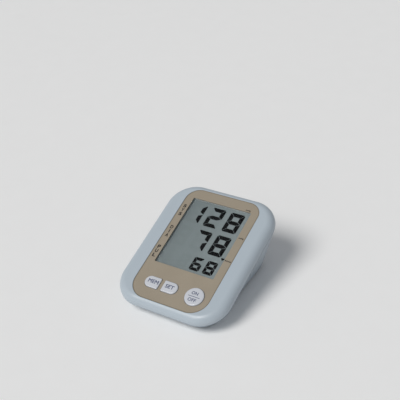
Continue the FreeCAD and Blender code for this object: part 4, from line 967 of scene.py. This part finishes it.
@dataclass
class Display:
    """The display's lit and unlit segments, with the reading that the photograph shows."""

    face: FaceFrame
    rows: tuple[DigitRow, ...] = (
        DigitRow("128", 24.9, 46.6, 21.3, 14.0, 19.0, 3.9),
        DigitRow("78", 24.4, 20.5, 21.3, 13.9, 19.1, 3.9),
        DigitRow("68", 25.3, -6.6, 13.6, 9.8, 13.1, 2.9),
    )
    slant: float = 1.6
    gap: float = 0.16
    corner_cut: float = 0.32
    heart: Triple = (26.6, -1.6, 3.2)
    lit_level: tuple[float, float] = (0.02, 0.03)
    unlit_level: tuple[float, float] = (0.01, 0.01)

    def bars(self, row: DigitRow) -> dict[str, Array]:
        """The seven segments of one digit.

        The six round the digit have their length on its outline, with its corners cut.
        Their ends are mitred at the corners and slope to a point half way up, and the
        middle one is pointed at both ends.

        Args:
            row: The row's measures.

        Returns:
            Corners (n, 2) of each segment by its letter, from the digit's lower left.
        """
        wide, tall, bar, gap = row.width, row.height, row.stroke, self.gap
        half = tall / 2.0
        cut = self.corner_cut * bar
        left = np.array([
            [cut + gap, tall], [cut / 2.0 + gap, tall - cut / 2.0], [bar + gap, tall - bar],
        ])
        top = np.concatenate([left, (left * (-1.0, 1.0) + (wide, 0.0))[::-1]])
        upper = np.array([
            [wide, tall - cut - gap], [wide - cut / 2.0, tall - cut / 2.0 - gap],
            [wide - bar, tall - bar - gap], [wide - bar, half + bar / 2.0 + gap],
            [wide, half + gap],
        ])
        tip = 2.0 * gap
        lower = np.array([
            [tip, half], [bar + tip, half - bar / 2.0], [wide - bar - tip, half - bar / 2.0],
        ])
        return {
            "a": top,
            "b": upper,
            "c": (upper * (1.0, -1.0) + (0.0, tall))[::-1],
            "d": (top * (1.0, -1.0) + (0.0, tall))[::-1],
            "e": (wide, tall) - upper,
            "f": (upper * (-1.0, 1.0) + (wide, 0.0))[::-1],
            "g": np.concatenate([lower, (wide, tall) - lower]),
        }

    def collect(self, lit: bool) -> list[Array]:
        """The segments of all rows that are lit, or that are not.

        Args:
            lit: Which of the two.

        Returns:
            Corners (n, 2) on the face of each segment.
        """
        lean = math.tan(math.radians(self.slant))
        found = []
        for row in self.rows:
            for place, (letter, flat) in product(range(row.places), self.bars(row).items()):
                character = row.text[-1 - place] if place < len(row.text) else ""
                if (letter in SEGMENTS.get(character, "")) == lit:
                    left = row.right - row.width - place * row.pitch
                    shift = lean * (flat[:, 1] - row.height / 2.0)
                    corner = (left, row.top - row.height)
                    found.append(grid(flat[:, 0] + shift, flat[:, 1]) + corner)
        return found

    def pulse(self) -> Array:
        """The pulse sign: a heart curve.

        With t once round, u is sin t cubed, and v is
        (13 cos t - 5 cos 2t - 2 cos 3t - cos 4t) / 16.

        Returns:
            Its outline (points, 2), anticlockwise.
        """
        u, v, size = self.heart
        t = -circle(OUTLINE_STEPS)
        along = 13.0 * np.cos(t) - 5.0 * np.cos(2 * t) - 2.0 * np.cos(3 * t) - np.cos(4 * t)
        return grid(np.sin(t) ** 3, along / 16.0) * size / 2.0 + (u, v)

    def build(self) -> None:
        """Makes the lit segments with the pulse sign, and the faint unlit ones.

        A level is the segments' height over the glass, and their thickness.
        """
        glass = self.face.extent("lcd_front_glass")[1][2]
        for name, flats, finish, (lift, depth) in (
            ("display_digits", [*self.collect(True), self.pulse()], SEGMENT, self.lit_level),
            ("display_unlit_segments", self.collect(False), GHOST, self.unlit_level),
        ):
            piece = Piece(name, "case", "lcd_face", finish)
            for flat in flats:
                bottom = self.face.to_model(grid(flat[:, 0], flat[:, 1], glass + lift))
                piece.surface(np.stack([bottom, bottom + self.face.axes[2] * depth]))
            piece.build()


@dataclass
class FasciaPrint:
    """The small print on the fascia: stacked row names on the left, units on the right."""

    face: FaceFrame
    letter_width: float = 2.9
    narrow_width: float = 0.9
    letter_height: float = 3.6
    stacks: tuple[tuple[str, float, tuple[float, ...]], ...] = (
        ("SYS", -32.9, (38.6, 34.0, 29.3)),
        ("DIA", -32.9, (13.6, 9.0, 4.4)),
        ("PUL", -33.2, (-9.0, -13.6, -18.3)),
    )
    units: tuple[Label, ...] = (
        ("mmHg", 4.9, 1.9, 25.5, 51.3),
        ("mmHg", 4.6, 1.9, 33.2, 21.8),
        ("PUL/min", 6.0, 1.5, 33.0, -3.1),
    )

    def build(self) -> None:
        """Makes the print as one thin mesh on the fascia."""
        piece = Piece("fascia_print", "case", "black_plastic", PRINT)
        lettering = Lettering(self.face)
        for word, u, rows in self.stacks:
            for character, v in zip(word, rows):
                width = self.narrow_width if character == "I" else self.letter_width
                lettering.place(piece, (character, width, self.letter_height, u, v))
        for label in self.units:
            lettering.place(piece, label)
        piece.build()


@dataclass
class Feet:
    """Four rubber feet, domed at the floor."""

    round_off: float = 0.45
    columns: int = 48

    def build(self) -> None:
        """Makes the feet in place of the CAD discs.

        Each foot is a profile turned about an upright axis: a flat sole, a quarter
        circle and a wall.
        """
        points = points_of("rubber_feet")
        middle = (points.min(axis=0) + points.max(axis=0)) / 2.0
        side = points[:, :2] > middle[:2]
        inset, rise = quarter_round(self.round_off, ROUND_STEPS)
        piece = Piece("rubber_pads", "case", "dark_rubber")
        for right_rear in product((False, True), repeat=2):
            foot = points[(side == right_rear).all(axis=1)]
            start, end = foot.min(axis=0), foot.max(axis=0)
            x, y, _ = (start + end) / 2.0
            radius = (end[0] - start[0]) / 2.0
            reach = np.append(radius - inset, radius)
            height = np.append(start[2] + rise, end[2])
            rings = np.roll(turned(height, reach, self.columns), -1, axis=-1)
            piece.surface(rings + (x, y, 0.0))
        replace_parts(piece.build(), "rubber_feet")


@dataclass
class Cell:
    """A sleeved battery cell with a coloured band at its plus end."""

    number: int
    columns: int = 56
    crimp: float = 0.6
    crimp_steps: int = 6
    end_inset: float = 1.5
    end_sink: float = 0.12
    nub_radius: float = 2.75
    nub_tip: float = 2.2
    nub_round: float = 0.3
    nub_length: float = 1.0
    band_length: float = 11.0
    tip_depth: float = 0.05
    tip_margin: float = 1.0

    def profile(self, length: float, radius: float) -> tuple[Array, Array]:
        """The cell's profile: the minus end, the sleeve, the band and the plus end.

        Both ends have a quarter circle as their crimped shoulder.

        Args:
            length: The whole cell's length.
            radius: The sleeve's radius.

        Returns:
            The places along the axis from the minus end, and the distances from it.
        """
        inset, rise = quarter_round(self.crimp, self.crimp_steps)
        shoulder = radius - inset
        body = length - self.nub_length
        sunk = body - self.end_sink
        inner = radius - self.end_inset
        nub = [self.nub_radius, self.nub_radius, self.nub_tip]
        reach = [inner, *shoulder, radius, radius, *shoulder[-2::-1], inner, *nub]
        along = [self.end_sink, *rise, body - self.band_length, body - self.crimp]
        along += [*(body - rise)[-2::-1], sunk, sunk, length - self.nub_round, length]
        return np.array(along), np.array(reach)

    def build(self) -> None:
        """Makes the cell, in three finishes, in place of the CAD one.

        The profile is turned about the cell's own axis, which lies along X. The plus
        end is the one whose outermost points stay well inside the radius.
        """
        node = f"battery_cell_{self.number}"
        low, high = box_of(node)
        points = points_of(node)
        middle = (low + high) / 2.0
        radius = (high[1] - low[1]) / 2.0
        tip = points[points[:, 0] > high[0] - self.tip_depth]
        plus_is_high = np.ptp(tip[:, 1]) < 2.0 * (radius - self.tip_margin)
        sign, minus = (1.0, low[0]) if plus_is_high else (-1.0, high[0])
        rings = turned(*self.profile(high[0] - low[0], radius), self.columns)
        piece = Piece(f"cell_{self.number}", "case", "cell_sleeve", SLEEVE, (BAND, STEEL))
        piece.surface(rings * (sign, 1.0, sign) + (minus, *middle[1:]))
        sleeve, band, steel = 0, 1, 2
        minus_steps, plus_steps = 1, 4
        counts = [minus_steps, self.crimp_steps, self.crimp_steps, plus_steps]
        steps = np.repeat([steel, sleeve, band, steel], counts)
        numbers = np.append(np.repeat(steps, self.columns), [steel, steel])
        piece.finish_numbers = numbers.astype(np.int32)
        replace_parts(piece.build(sharp=45.0), node)


@dataclass
class DoorGrip:
    """The ribs by which the battery door is pushed."""

    ribs: int = 6
    rib_length: float = 16.0
    rib_width: float = 0.9
    rib_pitch: float = 1.8
    rise: float = 0.4
    edge_room: float = 6.0
    rows: int = 21
    columns: int = 16
    end_power: int = 8
    end_least: float = 0.0025

    def build(self) -> None:
        """Makes the grip under the door, near its free edge.

        A rib is an ellipse carried along X, half of it in the door. Towards its ends it
        shrinks as the square root of one less a high power of the place along it.
        """
        low, high = box_of("battery_door")
        run = np.sin(np.linspace(-0.5, 0.5, self.rows) * np.pi)
        swell = np.sqrt(np.clip(1.0 - run**self.end_power, self.end_least, 1.0))
        size = (self.rib_length / 2.0, self.rib_width / 2.0, self.rise)
        rib = turned(run, swell, self.columns) * size
        piece = Piece("door_grip", "door", "white_shell")
        for number in range(self.ribs):
            y = high[1] - self.edge_room - number * self.rib_pitch
            piece.surface(rib + ((low[0] + high[0]) / 2.0, y, low[2]))
        piece.build()


@dataclass
class SocketLip:
    """The rounded lip round the air socket's mouth."""

    radius: float = 4.0
    bead: float = 0.45
    sink: float = 0.2
    flatness: float = 0.8
    rows: int = 16
    columns: int = 64

    def build(self) -> None:
        """Makes the lip: a small flattened circle carried round the socket's axis along X."""
        low, high = box_of("air_socket")
        _, y, z = (low + high) / 2.0
        tube = circle(self.rows)
        along = self.bead * (1.0 + np.sin(tube)) * self.flatness
        rings = turned(along, self.radius + self.bead * np.cos(tube), self.columns)
        piece = Piece("socket_lip", "case", "grey_plastic")
        piece.surface(rings + (low[0] + self.bead * self.sink, y, z), loop=True)
        piece.build()


class LampKind(Enum):
    """The kinds of lamp on the stage."""

    SUN = "SUN"
    AREA = "AREA"


@dataclass(frozen=True)
class Lamp:
    """A lamp that looks at the object.

    Its power is in watts, or in watts per square metre for a sun, and its breadth in
    metres, or in degrees for a sun.
    """

    name: str
    kind: LampKind
    place: Triple
    power: float
    colour: Triple
    breadth: float
    target: Triple = (0.0, 0.0, 0.03)

    def hang(self) -> None:
        """Puts the lamp in its place and turns it to the object."""
        lamp = bpy.data.lights.new(self.name, self.kind.value)
        if self.kind is LampKind.SUN:
            lamp.angle = math.radians(self.breadth)
        else:
            lamp.size = self.breadth
        lamp.energy = self.power
        lamp.color = self.colour
        holder = show(self.name, lamp)
        holder.location = self.place
        holder.rotation_euler = facing(self.place, self.target).to_euler()


@dataclass
class Studio:
    """The floor, the lamps, the sky and the camera."""

    location: Triple = (0.3139, -0.4533, 0.4576)
    aim: Triple = (-0.0267, 0.0503, 0.0474)
    roll: float = -5.42
    lens: float = 72.0
    sensor: float = 36.0
    nearest: float = 0.01
    floor_size: float = 6.0
    sky: Four = (0.93, 0.96, 1.0, 1.0)
    sky_strength: float = 0.29
    sky_shown: float = 0.8
    lamps: tuple[Lamp, ...] = (
        Lamp("key_lamp", LampKind.SUN, (-0.36, -0.78, 1.14), 1.97, (1.0, 0.985, 0.96), 30.0),
        Lamp("fill_lamp", LampKind.AREA, (-0.1, -1.35, 0.55), 1.0, (0.93, 0.96, 1.0), 1.0),
    )

    def build(self) -> None:
        """Puts up the whole stage."""
        self.add_floor()
        self.add_world()
        for lamp in self.lamps:
            lamp.hang()
        self.add_camera()

    def add_floor(self) -> None:
        """A wide plain floor at the feet's soles."""
        half = self.floor_size / 2.0
        mesh = bpy.data.meshes.new("floor")
        corners = ((-half, -half), (half, -half), (half, half), (-half, half))
        mesh.from_pydata([(x, y, 0.0) for x, y in corners], [], [[0, 1, 2, 3]])
        mesh.materials.append(FLOOR.material)
        show("floor", mesh)

    def add_world(self) -> None:
        """A pale sky that lights softly and shows as near white."""
        world = bpy.data.worlds.new("sky")
        world.use_nodes = True
        graph = Graph(world.node_tree)
        background = world.node_tree.nodes["Background"]
        background.inputs["Color"].default_value = self.sky
        seen = graph.add("ShaderNodeLightPath").outputs["Is Camera Ray"]
        strength = graph.remap(seen, To_Min=self.sky_strength, To_Max=self.sky_shown)
        graph.feed(background.inputs["Strength"], strength)
        bpy.context.scene.world = world

    def add_camera(self) -> None:
        """The camera of the photograph, with its slight roll."""
        lens = bpy.data.cameras.new("camera")
        lens.lens = self.lens
        lens.sensor_width = self.sensor
        lens.clip_start = self.nearest
        camera = show("camera", lens)
        turn = facing(self.location, self.aim).to_matrix().to_4x4()
        roll = Matrix.Rotation(math.radians(self.roll), 4, "Z")
        camera.matrix_world = Matrix.Translation(self.location) @ turn @ roll
        bpy.context.scene.camera = camera


@dataclass
class Monitor:
    """The whole blood pressure monitor, piece by piece."""

    face: FaceFrame = field(default_factory=FaceFrame.from_model)
    inner_corner: float = 1.0
    end_corner: float = 5.1
    power_radius: float = 8.6
    cells: int = 4

    def dress_nodes(self) -> None:
        """Gives every CAD node the finish of its slot, or one of its own."""
        for part in frame["record"]["subparts"]:
            node = frame["nodes"][part["node"]]
            finish = NODE_FINISH.get(part["node"], SLOT_FINISH[part["material_slot"]])
            node.data.materials.clear()
            node.data.materials.append(finish.material)

    def keys(self) -> list[KeyCap]:
        """The three keys with their legends.

        Returns:
            The keys from the left.
        """
        inner, end = (self.inner_corner,) * 2, (self.end_corner,) * 2
        disc = (self.power_radius,) * 4
        on_off = (("ON", 6.2, 3.1, 22.0, -41.5), ("OFF", 7.6, 3.1, 22.3, -48.0))
        return [
            KeyCap(self.face, "mem", inner + end, (("MEM", 10.0, 3.6, -18.4, -43.3),)),
            KeyCap(self.face, "set", end + inner, (("SET", 8.4, 3.6, -1.9, -43.4),)),
            KeyCap(self.face, "power", disc, on_off, bar=(22.5, 5.5, -44.8, 0.5)),
        ]

    def build(self) -> None:
        """Builds and dresses all pieces in order."""
        self.dress_nodes()
        FrontFrame(self.face).build()
        FasciaGapShade(self.face).build()
        for key in self.keys():
            key.build()
        Display(self.face).build()
        FasciaPrint(self.face).build()
        Feet().build()
        for number in range(1, self.cells + 1):
            Cell(number).build()
        DoorGrip().build()
        SocketLip().build()


def main() -> None:
    """Builds the monitor and its stage."""
    logging.basicConfig(level=logging.INFO, format="%(name)s: %(message)s")
    bpy.context.scene.view_settings.view_transform = "Standard"
    Monitor().build()
    Studio().build()


if __name__ == "__main__":
    main()
